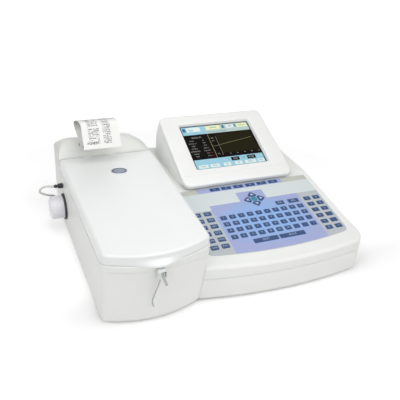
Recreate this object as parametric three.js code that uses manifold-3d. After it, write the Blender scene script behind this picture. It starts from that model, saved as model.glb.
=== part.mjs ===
// Semi-automatic biochemistry analyzer: an optics tower with a hinged lid, a roll printer behind the lid,
// a peristaltic pump on the left wall, a sipper on the front, and a keypad console with a tilted display.
// Millimetres, +Z up, +Y to the back, +X to the right. The group is centred over its own base at the end.
import * as THREE from "three";
import { mergeVertices } from "three/addons/utils/BufferGeometryUtils.js";
import Module from "manifold-3d";

const wasm = await Module();
wasm.setup();

// Clearances and overruns that the whole part shares
const seatGap = 0.3;
const runningGap = 0.4;
const overrun = 5;

// Facet counts
const cornerSteps = 4;
const frontSteps = 10;
const roundSides = 20;
const smallSides = 12;

// Tower housing, measured from its left wall (x), the console's front (y) and its own underside (z)
const towerFrontWidth = 132;
const towerFlare = 11;
const towerBackWidth = towerFrontWidth + towerFlare;
const towerFrontY = 11;
const towerBackY = 309;
const towerBulge = 16;
const towerSkew = 7;
const towerLean = 8;
const towerHeight = 84;
const towerWall = 3;
const towerFloor = 3;
const towerFrontRadius = 12;
const towerBackRadius = 9;
const towerFootBevel = 2.5;
const rimBandHeight = 9;
const rimBandProud = 0.9;
const rimBandDip = 6;

// Lid over the optics bay
const lidHeight = 12.6;
const lidBackY = 262.3;
const lidEdgeRound = 6;
const lidSkin = 2.5;
const lipWidth = 62;
const lipProud = 6.5;
const lipDrop = 3.2;
const lipHeight = 6.5;
const hingeY = 260.2;
const hingeZ = 95;
const hingePinRadius = 1;
const hingeLugRadius = 2.4;
const hingeLugWidth = 9;
const hingeSpread = 36;
const hingeEarWidth = 5;
const badgeLength = 23;
const badgeBreadth = 13;
const badgeThickness = 1.2;
const badgeY = 200;

// Inner deck and the optics on it
const deckZ = 58;
const deckThickness = 3;
const wellLeft = 12;
const wellRight = towerFrontWidth - wellLeft * 1.3;
const wellFront = 88;
const wellBack = 246;
const postRadius = 4.5;
const opticsBaseZ = 13;
const opticsBaseThickness = 4;
const opticsBaseWidth = 92;
const opticsBaseLength = 150;
const opticsBaseFront = 96;
const lightOffset = 6;
const lightX = towerFrontWidth / 2 + lightOffset;
const lightZ = 54;
const lightBore = 4;
const wheelPitchRadius = 21;
const wheelThickness = 6;
const wheelFilterRadius = 6;
const wheelRadius = wheelPitchRadius + wheelFilterRadius * 1.5;
const wheelFilterCount = 8;
const wheelY = 172;
const wheelShaftRadius = 2.5;
const wheelShaftLength = 16;
const motorLength = 24;
const blockWidth = 34;
const blockDepth = 26;
const blockTop = 72;
const cellSide = 12.4;
const cellHeight = 42;
const cellCapHeight = 6;
const cellWall = 3.5;
const motorSide = (wheelPitchRadius - cellSide / 2 - cellWall - seatGap * 4) * 2;
const detectorSide = 24;
const detectorLength = 22;
const lensRadius = 11;
const lensLength = 16;
const lampWidth = 42;
const lampDepth = 36;
const lampTop = 70;
const lampWall = 4;
const lampFinCount = 6;
const lampFinDepth = 3;
const lampBulbRadius = 6;
const lampBaseHeight = 14;
const lampBulbHeight = 24;

// Printer hump behind the lid
const humpFrontY = 263;
const humpCrestY = 284;
const humpHeight = 35.5;
const humpShoulder = 13;
const humpWall = 2.5;
const humpLeftRound = 9;
const humpRightSlope = 31;
const coverFrontY = 279;
const coverBackY = 303;
const slotWidth = 60;
const slotHeight = 3;
const slotZ = 109.5;
const slotOffset = 10;
const slotCentreX = towerFrontWidth / 2 - slotOffset;
const coverReachLeft = 34;
const coverReachRight = 40;
const rollRadius = 13;
const rollWidth = 57;
const rollY = 292;
const rollZ = 87;
const coreRadius = 6;
const spindleRadius = 3;
const platenRadius = 4.4;
const platenY = 273.4;
const platenZ = 93;
const headThickness = 3;
const paperThickness = 0.4;
const paperWidth = 54;
const paperRise = 43;
const paperCurlRadius = 13;
const paperDrop = 30;
const paperLeanDeg = 28;

// Peristaltic pump on the left wall
const pumpY = 230;
const pumpZ = 36;
const pumpRingRadius = 19;
const pumpRingDepth = 4;
const pumpCoverRadius = 16.6;
const pumpCoverWall = 1.5;
const pumpCoverReach = 22;
const pumpRollerOrbit = 8.4;
const pumpRollerRadius = 2.9;
const pumpRollerLength = 9;
const pumpRotorPlate = 2;
const pumpShaftRadius = 2.5;
const pumpMotorRadius = 15;
const pumpMotorLength = 32;
const pumpTubeRadius = 1.5;
const pumpTubeOrbit = 13.4;
const pumpTubeSteps = 50;
const fittingRadius = 3.6;
const fittingReach = 13;
const fittingY = 238;
const fittingZ = 66;
const tubeLoopReach = 36;

// Sipper on the front of the tower
const sipperOffset = 3;
const sipperX = towerFrontWidth / 2 - sipperOffset;
const sipperTopZ = 80;
const sipperHeight = 11;
const sipperWidth = 10;
const sipperDepth = 8.5;
const sipperTubeRadius = 0.9;
const sipperTubeDrop = 41;
const sipperTubeSway = 8;
const paddleLength = 17;
const paddleTopWidth = 2.8;
const paddleWidth = 3.6;
const paddleSplay = 5.6;
const paddleThickness = 2;
const paddlePinRadius = 1;

// Keypad console
const consoleWidth = 235.5;
const consoleRightX = towerFrontWidth + consoleWidth;
const consoleBulge = 11.5;
const consoleBackY = 309;
const consoleCornerRadius = 20;
const consoleBackRadius = 8;
const consoleBaseHeight = 30;
const consoleFrontHeight = 44.5;
const consoleDeckHeight = 78.5;
const consoleWall = 3;
const consoleEdgeRound = 4;
const keySlopeDeg = 11.72;
const towerJointGap = 0.6;

// Membrane keypad, u along x and v up the slope from the first key of the main block
const keyMargin = 55.3;
const keyOriginX = towerFrontWidth + keyMargin;
const keyOriginY = 89.7;
const overlayLeft = -47;
const overlayRight = 164;
const overlayBottom = -61;
const overlayTop = 66;
const overlaySag = 9;
const overlayThickness = 1;
const overlayCorner = 9;
const recessDepth = 0.9;
const keyPitchU = 13.414;
const keyPitchV = 12.466;
const keyWidth = 9.6;
const keyHeight = 8;
const keyProud = 0.5;
const mainColumns = 10;
const mainRows = 4;
const sideRows = 6;
const leftBlockU = -33.8;
const rightBlockU = 139.03;
const sideBlockPitch = 15.24;
const wideKeyWidth = 35;
const functionKeyCount = 6;
const functionKeyPitch = 18.95;
const functionKeyV = 59.2;
const functionKeyHeight = 4.6;
const cursorU = 60.2;
const cursorV = 28;
const cursorPitchU = 11;
const cursorPitchV = 9.7;

// Tilted display
const displayTiltDeg = 24.5;
const screenMargin = 51.6;
const screenX = towerFrontWidth + screenMargin;
const screenY = 178.5;
const screenZ = 93.65;
const screenWidth = 115.2;
const screenHeight = 86.4;
const bezelSide = 29.5;
const bezelBelow = 29.8;
const bezelAbove = 21.2;
const bezelProud = 4;
const bezelDepth = 2;
const hoodChin = 10;
const bezelCorner = 9;
const bezelEdgeRound = 2.5;
const bezelReveal = 2;
const screenFrame = 6;
const screenDepth = 7;
const hoodBackY = 279.5;
const hoodWall = 2.5;

// Rear connections
const panelMargin = 44;
const panelLeft = towerFrontWidth + panelMargin;
const panelBottom = 34;
const panelDrop = 4.5;
const panelTop = consoleDeckHeight - panelDrop;
const panelThickness = 2;
const panelFlange = 4;
const inletWidth = 31;
const inletHeight = 24;
const inletDepth = 22;
const inletRecess = 16;
const switchWidth = 15;
const switchHeight = 21;
const switchDepth = 14;
const rockerSwing = 11;
const serialWidth = 31;
const serialHeight = 12.5;
const serialShellWidth = 17;
const serialShellHeight = 8.4;
const serialReach = 6;
const panelWidth = inletWidth * 2 + serialWidth * 2.97;
const panelRight = panelLeft + panelWidth;
const fanSide = 50;
const fanDepth = 15;
const fanBore = 23;
const fanHubRadius = 11;
const fanBladeCount = 7;
const fanOffset = 2.5;
const fanX = towerBackWidth / 2 + fanOffset;
const fanZ = 31;
const guardWire = 1.2;

// Inside the console
const boardMargin = 28;
const boardWidth = 75;
const boardLeft = towerFrontWidth + boardMargin;
const boardRight = boardLeft + boardWidth;
const boardFront = 170;
const boardBack = 290;
const boardZ = 12;
const boardThickness = 1.6;
const supplyMargin = 13;
const supplyWidth = 97;
const supplyLeft = boardRight + supplyMargin;
const supplyRight = supplyLeft + supplyWidth;
const supplyFront = 190;
const supplyBack = 285;
const supplyHeight = 30;
const standoffRadius = 3;

// Feet
const footRadius = 8;
const footHeight = 3;
const footStemRadius = 3;
const footStemLength = 2;
const footInset = 18;

const keySlope = THREE.MathUtils.degToRad(keySlopeDeg);
const displayTilt = THREE.MathUtils.degToRad(displayTiltDeg);
const lidTopZ = towerHeight + runningGap + lidHeight;

// A closed geometry as a solid that can be joined and cut
function solidOf(geometry) {
  const bare = geometry.index ? geometry.toNonIndexed() : geometry.clone();
  const points = new THREE.BufferGeometry().setAttribute("position", bare.getAttribute("position"));
  const merged = mergeVertices(points, 1e-4);
  return new wasm.Manifold(
    new wasm.Mesh({
      numProp: 3,
      vertProperties: merged.attributes.position.array,
      triVerts: new Uint32Array(merged.index.array),
    }),
  );
}

// A solid as a geometry that a mesh can show
function geometryOf(solid) {
  const { vertProperties, triVerts } = solid.getMesh();
  const geometry = new THREE.BufferGeometry();
  geometry.setAttribute("position", new THREE.BufferAttribute(vertProperties, 3));
  geometry.setIndex(new THREE.BufferAttribute(triVerts, 1));
  const flat = geometry.toNonIndexed();
  flat.computeVertexNormals();
  return flat;
}

const join = (...solids) => solids.reduce((all, next) => all.add(next));
const cut = (solid, ...tools) => tools.reduce((rest, tool) => rest.subtract(tool), solid);
const common = (...solids) => solids.reduce((all, next) => all.intersect(next));

// A block between two corners
function block(x0, x1, y0, y1, z0, z1) {
  const geometry = new THREE.BoxGeometry(x1 - x0, y1 - y0, z1 - z0);
  geometry.translate((x0 + x1) / 2, (y0 + y1) / 2, (z0 + z1) / 2);
  return solidOf(geometry);
}

// Turns a geometry made along +Z so that it runs along the named axis
function along(geometry, axis) {
  if (axis === "x") geometry.rotateY(Math.PI / 2);
  if (axis === "y") geometry.rotateX(-Math.PI / 2);
  return geometry;
}

// A round bar from a point along an axis
function rod(axis, at, radius, length, sides = roundSides, endRadius = radius) {
  const geometry = new THREE.CylinderGeometry(endRadius, radius, length, sides);
  geometry.rotateX(Math.PI / 2);
  geometry.translate(0, 0, length / 2);
  along(geometry, axis);
  geometry.translate(...at);
  return solidOf(geometry);
}

// A turned body: radius and height pairs round an axis through a point, first and last on the axis
function turned(axis, at, profile, sides = roundSides) {
  const geometry = new THREE.LatheGeometry(
    profile.map(([radius, height]) => new THREE.Vector2(radius, height)),
    sides,
  );
  geometry.rotateX(Math.PI / 2);
  along(geometry, axis);
  geometry.translate(...at);
  return solidOf(geometry);
}

// An outline with rounded corners: each corner is [x, y, radius]
function rounded(corners, steps = cornerSteps) {
  const points = [];
  corners.forEach(([x, y, radius = 0], i) => {
    const [px, py] = corners[(i + corners.length - 1) % corners.length];
    const [nx, ny] = corners[(i + 1) % corners.length];
    if (!radius) {
      points.push(new THREE.Vector2(x, y));
      return;
    }
    const here = new THREE.Vector2(x, y);
    const back = new THREE.Vector2(px - x, py - y).normalize();
    const ahead = new THREE.Vector2(nx - x, ny - y).normalize();
    const half = Math.acos(THREE.MathUtils.clamp(back.dot(ahead), -1, 1)) / 2;
    const reach = radius / Math.tan(half);
    const middle = back.clone().add(ahead).normalize().multiplyScalar(radius / Math.sin(half)).add(here);
    const first = back.clone().multiplyScalar(reach).add(here).sub(middle);
    const last = ahead.clone().multiplyScalar(reach).add(here).sub(middle);
    const turn = Math.atan2(first.cross(last), first.dot(last));
    for (let k = 0; k <= steps; k += 1)
      points.push(first.clone().rotateAround(new THREE.Vector2(), (turn * k) / steps).add(middle));
  });
  return points;
}

const rectangle = (x0, x1, y0, y1, radius = 0) => [
  [x0, y0, radius],
  [x1, y0, radius],
  [x1, y1, radius],
  [x0, y1, radius],
];

// A prism over an outline, its length along an axis; along x the outline is (y, z), along y it is (x, z)
function prism(outline, from, to, axis = "z") {
  const shape = new THREE.Shape(outline);
  const geometry = new THREE.ExtrudeGeometry(shape, { depth: to - from, bevelEnabled: false });
  geometry.translate(0, 0, from);
  const order = { z: [0, 1, 2], x: [2, 0, 1], y: [0, 2, 1] }[axis];
  const position = geometry.attributes.position;
  for (let i = 0; i < position.count; i += 1) {
    const point = [position.getX(i), position.getY(i), position.getZ(i)];
    position.setXYZ(i, point[order[0]], point[order[1]], point[order[2]]);
  }
  const solid = solidOf(geometry);
  return solid.volume() < 0 ? solidOf(flipped(geometry)) : solid;
}

// The same geometry with its faces turned round
function flipped(geometry) {
  const turnedRound = geometry.index ? geometry.toNonIndexed() : geometry.clone();
  const position = turnedRound.attributes.position;
  for (let i = 0; i < position.count; i += 3) {
    const second = new THREE.Vector3().fromBufferAttribute(position, i + 1);
    const third = new THREE.Vector3().fromBufferAttribute(position, i + 2);
    position.setXYZ(i + 1, third.x, third.y, third.z);
    position.setXYZ(i + 2, second.x, second.y, second.z);
  }
  return turnedRound;
}

// A skin over rings of equal point counts, closed by flat caps, lowest ring first
function loft(rings) {
  const count = rings[0].length;
  const vertices = rings.flat().flatMap((point) => [point.x, point.y, point.z]);
  const faces = [];
  for (let r = 0; r + 1 < rings.length; r += 1)
    for (let i = 0; i < count; i += 1) {
      const a = r * count + i;
      const b = r * count + ((i + 1) % count);
      faces.push(a, b, b + count, a, b + count, a + count);
    }
  const cap = (ring) =>
    THREE.ShapeUtils.triangulateShape(ring.map((point) => new THREE.Vector2(point.x, point.y)), []);
  cap(rings[0]).forEach(([a, b, c]) => faces.push(a, c, b));
  const top = (rings.length - 1) * count;
  cap(rings[rings.length - 1]).forEach(([a, b, c]) => faces.push(top + a, top + b, top + c));
  const geometry = new THREE.BufferGeometry();
  geometry.setAttribute("position", new THREE.Float32BufferAttribute(vertices, 3));
  geometry.setIndex(faces);
  return solidOf(geometry);
}

const level = (outline, z) => outline.map((point) => new THREE.Vector3(point.x, point.y, z));

// A round tube along a smooth curve through points
function tube(points, radius, steps, sides = 8) {
  const curve = new THREE.CatmullRomCurve3(points.map((point) => new THREE.Vector3(...point)));
  const section = [];
  for (let i = 0; i < sides; i += 1) {
    const angle = (2 * Math.PI * i) / sides;
    section.push(new THREE.Vector2(radius * Math.cos(angle), radius * Math.sin(angle)));
  }
  return solidOf(
    new THREE.ExtrudeGeometry(new THREE.Shape(section), { steps, extrudePath: curve, bevelEnabled: false }),
  );
}

const group = new THREE.Group();

// Adds a solid to a parent as a named mesh with its finish
function add(name, solid, [color, roughness, metalness = 0, opacity = 1], parent = group) {
  const material = new THREE.MeshStandardMaterial({ color, roughness, metalness });
  material.transparent = opacity < 1;
  material.opacity = opacity;
  const mesh = new THREE.Mesh(geometryOf(solid), material);
  mesh.name = name;
  parent.add(mesh);
  return mesh;
}

const finishes = {
  housing: [0xe9eae6, 0.45],
  lid: [0xf1f3f3, 0.4],
  deck: [0xd8dad8, 0.55],
  bezel: [0xf2f3f1, 0.4],
  dark: [0x2a2c30, 0.5],
  rubber: [0x1d1e20, 0.85],
  metal: [0xb9bcc0, 0.35, 1],
  steel: [0xd0d2d4, 0.25, 1],
  screen: [0x14181c, 0.12],
  keypad: [0xa8aed6, 0.55],
  badge: [0x969baa, 0.35],
  paper: [0xf6f6f2, 0.9],
  clear: [0xcfcbe4, 0.15, 0, 0.45],
  glass: [0xdfe8ee, 0.05, 0, 0.35],
  board: [0x1f6b45, 0.5],
  tubing: [0xe8ecee, 0.25, 0, 0.6],
};

// The bow of the tower's front: how far back it stands at a share of its width, for a lean
const bowAt = (share, lean) =>
  towerFrontY -
  lean / 2 +
  (towerSkew - lean / 2) * share -
  (towerBulge + lean / 4) * (1 - (2 * share - 1) ** 2);

// The bowed front and its two rounded corners, drawn in by an inset
function frontCorners(inset, lean) {
  const radius = Math.max(towerFrontRadius - inset, seatGap);
  const corners = [];
  for (let i = 0; i <= frontSteps; i += 1) {
    const share = i / frontSteps;
    corners.push([inset + (towerFrontWidth - 2 * inset) * share, bowAt(share, lean) + inset]);
  }
  corners[0].push(radius);
  corners[frontSteps].push(radius);
  return corners;
}

// The tower in plan, drawn in by an inset, with its front pushed forward by a lean
function towerOutline(inset = 0, lean = 0) {
  const radius = Math.max(towerBackRadius - inset, seatGap);
  return rounded([
    ...frontCorners(inset, lean),
    [towerBackWidth - inset, towerBackY - inset, radius],
    [inset, towerBackY - inset, radius],
  ]);
}

// The lean of the tower's front at a height
const leanAt = (z) => (towerLean * z) / towerHeight;

// Everything inside the tower's walls between two heights
function towerCore(inset, z0, z1) {
  return loft([level(towerOutline(inset, leanAt(z0)), z0), level(towerOutline(inset, leanAt(z1)), z1)]);
}

// Where the posts that carry the inner deck stand, as shares of the tower's width there and of its depth
const deckPostShares = [
  [0.097, 0.08],
  [0.893, 0.08],
  [0.07, 0.93],
  [0.875, 0.93],
  [0.0725, 0.55],
  [0.942, 0.55],
];
const deckPosts = deckPostShares.map(([u, v]) => [
  u * (towerFrontWidth + v * towerFlare),
  towerFrontY + v * (towerBackY - towerFrontY),
]);

const opticsBosses = [
  [lightX - opticsBaseWidth / 2 + postRadius * 2, opticsBaseFront + postRadius * 2],
  [lightX + opticsBaseWidth / 2 - postRadius * 2, opticsBaseFront + postRadius * 2],
  [lightX - opticsBaseWidth / 2 + postRadius * 2, opticsBaseFront + opticsBaseLength - postRadius * 2],
  [lightX + opticsBaseWidth / 2 - postRadius * 2, opticsBaseFront + opticsBaseLength - postRadius * 2],
];

// Feet under the tower and the console, in plan
const footPlaces = [
  [footInset, towerFrontY + footInset],
  [footInset, towerBackY - footInset],
  [consoleRightX - footInset, towerFrontY + footInset],
  [consoleRightX - footInset, consoleBackY - footInset],
  [towerFrontWidth - footInset, towerFrontY + footInset],
];

// Tower housing: one tall moulded shell, open on top, with posts for the inner deck
function towerHousing() {
  const outer = loft([
    level(towerOutline(towerFootBevel, 0), 0),
    level(towerOutline(0, leanAt(towerFootBevel)), towerFootBevel),
    level(towerOutline(0, towerLean), towerHeight),
  ]);
  const inner = towerCore(towerWall, towerFloor, towerHeight + overrun);
  // The rim stands a little proud along the front; its lower edge dips towards the console
  const bandLow = towerHeight - rimBandHeight;
  const dipping = (outline, z) =>
    outline.map(({ x, y }) => {
      const past = Math.max((x / towerFrontWidth) * 2 - 1, 0);
      return new THREE.Vector3(x, y, z - rimBandDip * Math.min(past, 1) ** 2);
    });
  const band = cut(
    loft([
      dipping(towerOutline(0, leanAt(bandLow - rimBandDip)), bandLow),
      dipping(towerOutline(-rimBandProud, leanAt(bandLow)), bandLow + rimBandProud),
      level(towerOutline(-rimBandProud, towerLean), towerHeight - rimBandProud),
      level(towerOutline(0, towerLean), towerHeight),
    ]),
    towerCore(towerWall / 2, bandLow - rimBandDip - overrun, towerHeight + overrun),
  );
  const bandReach = block(
    -overrun,
    towerFrontWidth + overrun,
    -towerBulge - towerLean - overrun,
    towerFrontY + towerFrontRadius,
    bandLow - rimBandDip - overrun,
    towerHeight + overrun,
  );
  const posts = deckPosts.map(([x, y]) =>
    rod("z", [x, y, towerFloor - seatGap], postRadius, deckZ - towerFloor, smallSides),
  );
  const bosses = opticsBosses.map(([x, y]) =>
    rod("z", [x, y, towerFloor - seatGap], postRadius, opticsBaseZ - towerFloor, smallSides),
  );
  const stems = footPlaces
    .filter(([x]) => x < towerFrontWidth)
    .map(([x, y]) => rod("z", [x, y, -overrun], footStemRadius + seatGap, overrun * 2 + towerFloor, smallSides));
  const pumpHole = rod(
    "x",
    [-overrun, pumpY, pumpZ],
    pumpShaftRadius + runningGap,
    overrun * 2 + towerWall,
  );
  const fittingHole = rod(
    "x",
    [-overrun, fittingY, fittingZ],
    fittingRadius / 2 + seatGap,
    overrun * 2 + towerWall,
  );
  const fanHole = rod("y", [fanX, towerBackY - towerWall - overrun, fanZ], fanBore, overrun * 2 + towerWall);
  const stemHole = rod(
    "y",
    [sipperX, -towerBulge - towerLean, sipperTopZ - sipperHeight / 2],
    sipperTubeRadius * 2 + seatGap,
    towerBulge + towerLean + towerFrontY,
    smallSides,
  );
  const vents = [];
  const ventPitch = towerWall * 3;
  for (let i = 0; i < 9; i += 1) {
    const x = towerFrontWidth / 2 + (i - 4) * ventPitch;
    vents.push(
      block(x, x + towerWall, towerBackY * 0.28, towerBackY * 0.42, -overrun, towerFloor + overrun),
    );
  }
  return cut(
    join(cut(outer, inner), common(band, bandReach), ...posts, ...bosses),
    ...stems,
    pumpHole,
    fittingHole,
    fanHole,
    stemHole,
    ...vents,
  );
}

// Where the lid's two hinge lugs stand across the tower
const lugPlaces = [slotCentreX - hingeSpread / 2, slotCentreX + hingeSpread / 2];

// The ear of each hinge, beside its lug, grown by a gap, with the way it turns through kept free
function hingeEar(x, gap) {
  const radius = hingeLugRadius + gap;
  const left = x - hingeEarWidth - seatGap - gap;
  const right = x - seatGap + gap;
  const back = humpFrontY + humpWall / 2;
  return join(
    rod("x", [left, hingeY, hingeZ], radius, right - left, smallSides),
    block(left, right, hingeY, back, hingeZ - radius, hingeZ + radius * 0.7),
    block(left, right, hingeY - (gap ? radius : 0), back, hingeZ, hingeZ + (gap ? lidHeight : radius * 0.7)),
  );
}

// The lid's outline: the tower's, ended in front of the printer
function lidOutline(inset) {
  const back = lidBackY - inset;
  const right = towerFrontWidth + (towerFlare * (back - towerFrontY)) / (towerBackY - towerFrontY) - inset;
  const radius = Math.max(towerBackRadius / 2 - inset / 2, seatGap);
  return rounded([...frontCorners(inset, towerLean), [right, back, radius], [inset, back, radius]]);
}

// Rings that round an edge off over a quarter turn: [inset share, height share] of the round
const quarterShares = [0, 1, 2, 3, 4].map((step) => {
  const angle = (Math.PI / 2) * (step / 4);
  return [1 - Math.cos(angle), Math.sin(angle)];
});

// Hinged lid: a shallow moulded cap with rounded edges, a finger lip in front and two hinge lugs behind
function lid() {
  const bottom = towerHeight + runningGap;
  const outer = loft(
    [level(lidOutline(0), bottom)].concat(
      quarterShares.map(([inset, rise]) =>
        level(lidOutline(lidEdgeRound * inset), lidTopZ - lidEdgeRound + lidEdgeRound * rise),
      ),
    ),
  );
  const inner = loft([
    level(lidOutline(lidSkin), bottom - overrun),
    level(lidOutline(lidSkin), lidTopZ - lidEdgeRound),
    level(lidOutline(lidSkin + lidEdgeRound / 3), lidTopZ - lidSkin),
  ]);
  // The finger lip bulges past the front and hangs a little below the lid's edge
  const lipMiddle = towerFrontWidth / 2 - lidSkin;
  const lipRing = (proud, z) => {
    const points = [];
    for (let i = 0; i <= frontSteps; i += 1) {
      const share = (2 * i) / frontSteps - 1;
      const bow = Math.cos((share * Math.PI) / 2) ** 2;
      const x = lipMiddle + (share * lipWidth) / 2;
      points.push(new THREE.Vector3(x, bowAt(x / towerFrontWidth, towerLean) + seatGap / 4 - proud * bow, z));
    }
    points.push(new THREE.Vector3(lipMiddle + lipWidth / 2, towerFrontY, z));
    points.push(new THREE.Vector3(lipMiddle - lipWidth / 2, towerFrontY, z));
    return points;
  };
  const lipBottom = bottom - lipDrop;
  const lip = cut(
    loft([
      lipRing(lipProud * 0.72, lipBottom),
      lipRing(lipProud, lipBottom + lipHeight * 0.2),
      lipRing(lipProud, lipBottom + lipHeight * 0.55),
      lipRing(lipProud * 0.6, lipBottom + lipHeight * 0.85),
      lipRing(-lidSkin / 2, lipBottom + lipHeight * 1.2),
    ]),
    towerCore(-runningGap - rimBandProud, -overrun, bottom),
    inner,
  );
  const lugs = lugPlaces.map((x) =>
    rod("x", [x, hingeY, hingeZ], hingeLugRadius, hingeLugWidth, smallSides),
  );
  const bores = lugPlaces.map((x) =>
    rod("x", [x - overrun, hingeY, hingeZ], hingePinRadius + seatGap, hingeLugWidth + overrun, smallSides),
  );
  const notches = lugPlaces.map((x) => hingeEar(x, runningGap));
  return cut(join(cut(outer, inner), lip, ...lugs), ...bores, ...notches);
}

// Blank oval plate let on to the top of the lid
function lidBadge() {
  const middle = [towerFrontWidth / 2 + badgeLength * 0.3, badgeY, lidTopZ + seatGap / 3];
  const profile = [
    [0, 0],
    [1, 0],
    [1, badgeThickness * 0.5],
    [0.88, badgeThickness],
    [0.8, badgeThickness * 0.8],
    [0, badgeThickness * 0.8],
  ];
  const geometry = new THREE.LatheGeometry(
    profile.map(([share, height]) => new THREE.Vector2(share, height)),
    roundSides,
  );
  geometry.rotateX(Math.PI / 2);
  geometry.scale(badgeLength / 2, badgeBreadth / 2, 1);
  geometry.translate(...middle);
  return solidOf(geometry);
}

// One hinge pin, pressed through the printer housing's ear and the lid's lug
function hingePin(x) {
  return rod(
    "x",
    [x - hingeEarWidth, hingeY, hingeZ],
    hingePinRadius,
    hingeLugWidth + hingeEarWidth - overrun / 2,
    smallSides,
  );
}

// Inner deck under the lid: a plate round the optics well
function innerDeck() {
  const plate = loft([
    level(towerOutline(towerWall + seatGap * 2, leanAt(deckZ)), deckZ),
    level(towerOutline(towerWall + seatGap * 2, leanAt(deckZ)), deckZ + deckThickness),
  ]);
  const well = prism(rounded(rectangle(wellLeft, wellRight, wellFront, wellBack, towerBackRadius)), 0, lidTopZ);
  const coaming = cut(
    prism(
      rounded(
        rectangle(wellLeft - towerWall, wellRight + towerWall, wellFront - towerWall, wellBack + towerWall, towerBackRadius),
      ),
      deckZ,
      deckZ + deckThickness * 2,
    ),
    well,
  );
  const screwHoles = deckPosts.map(([x, y]) => rod("z", [x, y, deckZ - overrun], postRadius / 3, overrun * 3, smallSides));
  return cut(join(cut(plate, well), coaming), ...screwHoles);
}

// Optics base: the rigid plate that keeps lamp, filters, flow cell and detector in line
function opticsBase() {
  const left = lightX - opticsBaseWidth / 2;
  const plate = prism(
    rounded(
      rectangle(left, left + opticsBaseWidth, opticsBaseFront, opticsBaseFront + opticsBaseLength, postRadius),
    ),
    opticsBaseZ,
    opticsBaseZ + opticsBaseThickness,
  );
  const holes = opticsBosses.map(([x, y]) =>
    rod("z", [x, y, opticsBaseZ - overrun], postRadius / 3, overrun * 3, smallSides),
  );
  return cut(plate, ...holes);
}

const baseTop = opticsBaseZ + opticsBaseThickness + seatGap;
const wheelX = lightX - wheelPitchRadius;
const motorFrontY = wheelY - wheelShaftLength * 0.25 - motorLength;
const blockFrontY = wheelY - seatGap * 8 - blockDepth;
const detectorFrontY = blockFrontY - seatGap - detectorLength;
const lensFrontY = wheelY + wheelThickness + seatGap * 5;
const lampFrontY = lensFrontY + lensLength + seatGap;

// Filter wheel: a disc with a hole per interference filter, a hub, and the shaft that enters the motor
function filterWheel() {
  const disc = rod("y", [wheelX, wheelY, lightZ], wheelRadius, wheelThickness, smallSides * 3);
  const hub = rod("y", [wheelX, wheelY - seatGap, lightZ], wheelShaftRadius * 2.4, wheelThickness * 1.4);
  const shaft = rod("y", [wheelX, wheelY - wheelShaftLength, lightZ], wheelShaftRadius, wheelShaftLength);
  const holes = [];
  for (let i = 0; i < wheelFilterCount; i += 1) {
    const angle = (2 * Math.PI * i) / wheelFilterCount;
    holes.push(
      rod(
        "y",
        [
          wheelX + wheelPitchRadius * Math.cos(angle),
          wheelY - overrun,
          lightZ + wheelPitchRadius * Math.sin(angle),
        ],
        wheelFilterRadius,
        wheelThickness + overrun * 2,
        smallSides,
      ),
    );
  }
  return join(cut(disc, ...holes), hub, shaft);
}

// Stepper motor that turns the filter wheel, on a foot that stands on the optics base
function filterMotor() {
  const half = motorSide / 2;
  const body = prism(
    rounded(rectangle(wheelX - half, wheelX + half, lightZ - half, lightZ + half, motorSide / 8), 2),
    motorFrontY,
    motorFrontY + motorLength,
    "y",
  );
  const foot = block(wheelX - half / 2, wheelX + half / 2, motorFrontY, motorFrontY + motorLength, baseTop, lightZ - half / 2);
  const bore = rod(
    "y",
    [wheelX, motorFrontY + motorLength - wheelShaftLength, lightZ],
    wheelShaftRadius + runningGap,
    wheelShaftLength + overrun,
  );
  return cut(join(body, foot), bore);
}

const blockLeft = lightX - cellSide / 2 - cellWall;

// Flow-cell block: warmed metal block with a square well for the cell and the light's way through it
function flowCellBlock() {
  const body = block(blockLeft, blockLeft + blockWidth, blockFrontY, blockFrontY + blockDepth, baseTop, blockTop);
  const middleY = blockFrontY + blockDepth / 2;
  const half = cellSide / 2 + seatGap;
  const well = block(lightX - half, lightX + half, middleY - half, middleY + half, blockTop - cellHeight, blockTop + overrun);
  const bore = rod("y", [lightX, blockFrontY - overrun, lightZ], lightBore, blockDepth + overrun * 2, smallSides);
  const fins = [];
  for (let i = 0; i < 4; i += 1) {
    const z = baseTop + ((blockTop - baseTop) * (i + 1)) / 5;
    fins.push(
      block(
        blockLeft + blockWidth - lampFinDepth,
        blockLeft + blockWidth + overrun,
        blockFrontY - overrun,
        blockFrontY + blockDepth + overrun,
        z,
        z + lampFinDepth,
      ),
    );
  }
  return cut(body, well, bore, ...fins);
}

// Flow cell: a quartz cell with a cap and two tube stubs
function flowCell() {
  const middleY = blockFrontY + blockDepth / 2;
  const half = cellSide / 2;
  const top = blockTop + seatGap * 3;
  const glass = block(lightX - half, lightX + half, middleY - half, middleY + half, blockTop - cellHeight + seatGap, top);
  const cap = prism(
    rounded(rectangle(lightX - half * 1.3, lightX + half * 1.3, middleY - half * 1.3, middleY + half * 1.3, half / 2), 2),
    top,
    top + cellCapHeight,
  );
  const stubs = [-1, 1].map((side) =>
    rod("z", [lightX + (side * half) / 2, middleY, top + cellCapHeight / 2], sipperTubeRadius * 1.6, cellCapHeight, 8),
  );
  return join(glass, cap, ...stubs);
}

// Photodiode housing in line behind the cell
function detector() {
  const half = detectorSide / 2;
  const body = block(lightX - half, lightX + half, detectorFrontY, detectorFrontY + detectorLength, baseTop, lightZ + half);
  const bore = rod(
    "y",
    [lightX, detectorFrontY + detectorLength / 2, lightZ],
    lightBore,
    detectorLength / 2 + overrun,
    smallSides,
  );
  return cut(body, bore);
}

// Lens barrel between lamp and filter wheel, on its own foot
function lensBarrel() {
  const barrel = rod("y", [lightX, lensFrontY, lightZ], lensRadius, lensLength);
  const foot = block(lightX - lensRadius / 2, lightX + lensRadius / 2, lensFrontY, lensFrontY + lensLength, baseTop, lightZ);
  const bore = rod("y", [lightX, lensFrontY - overrun, lightZ], lensRadius * 0.7, lensLength + overrun * 2);
  return cut(join(barrel, foot), bore);
}

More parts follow.
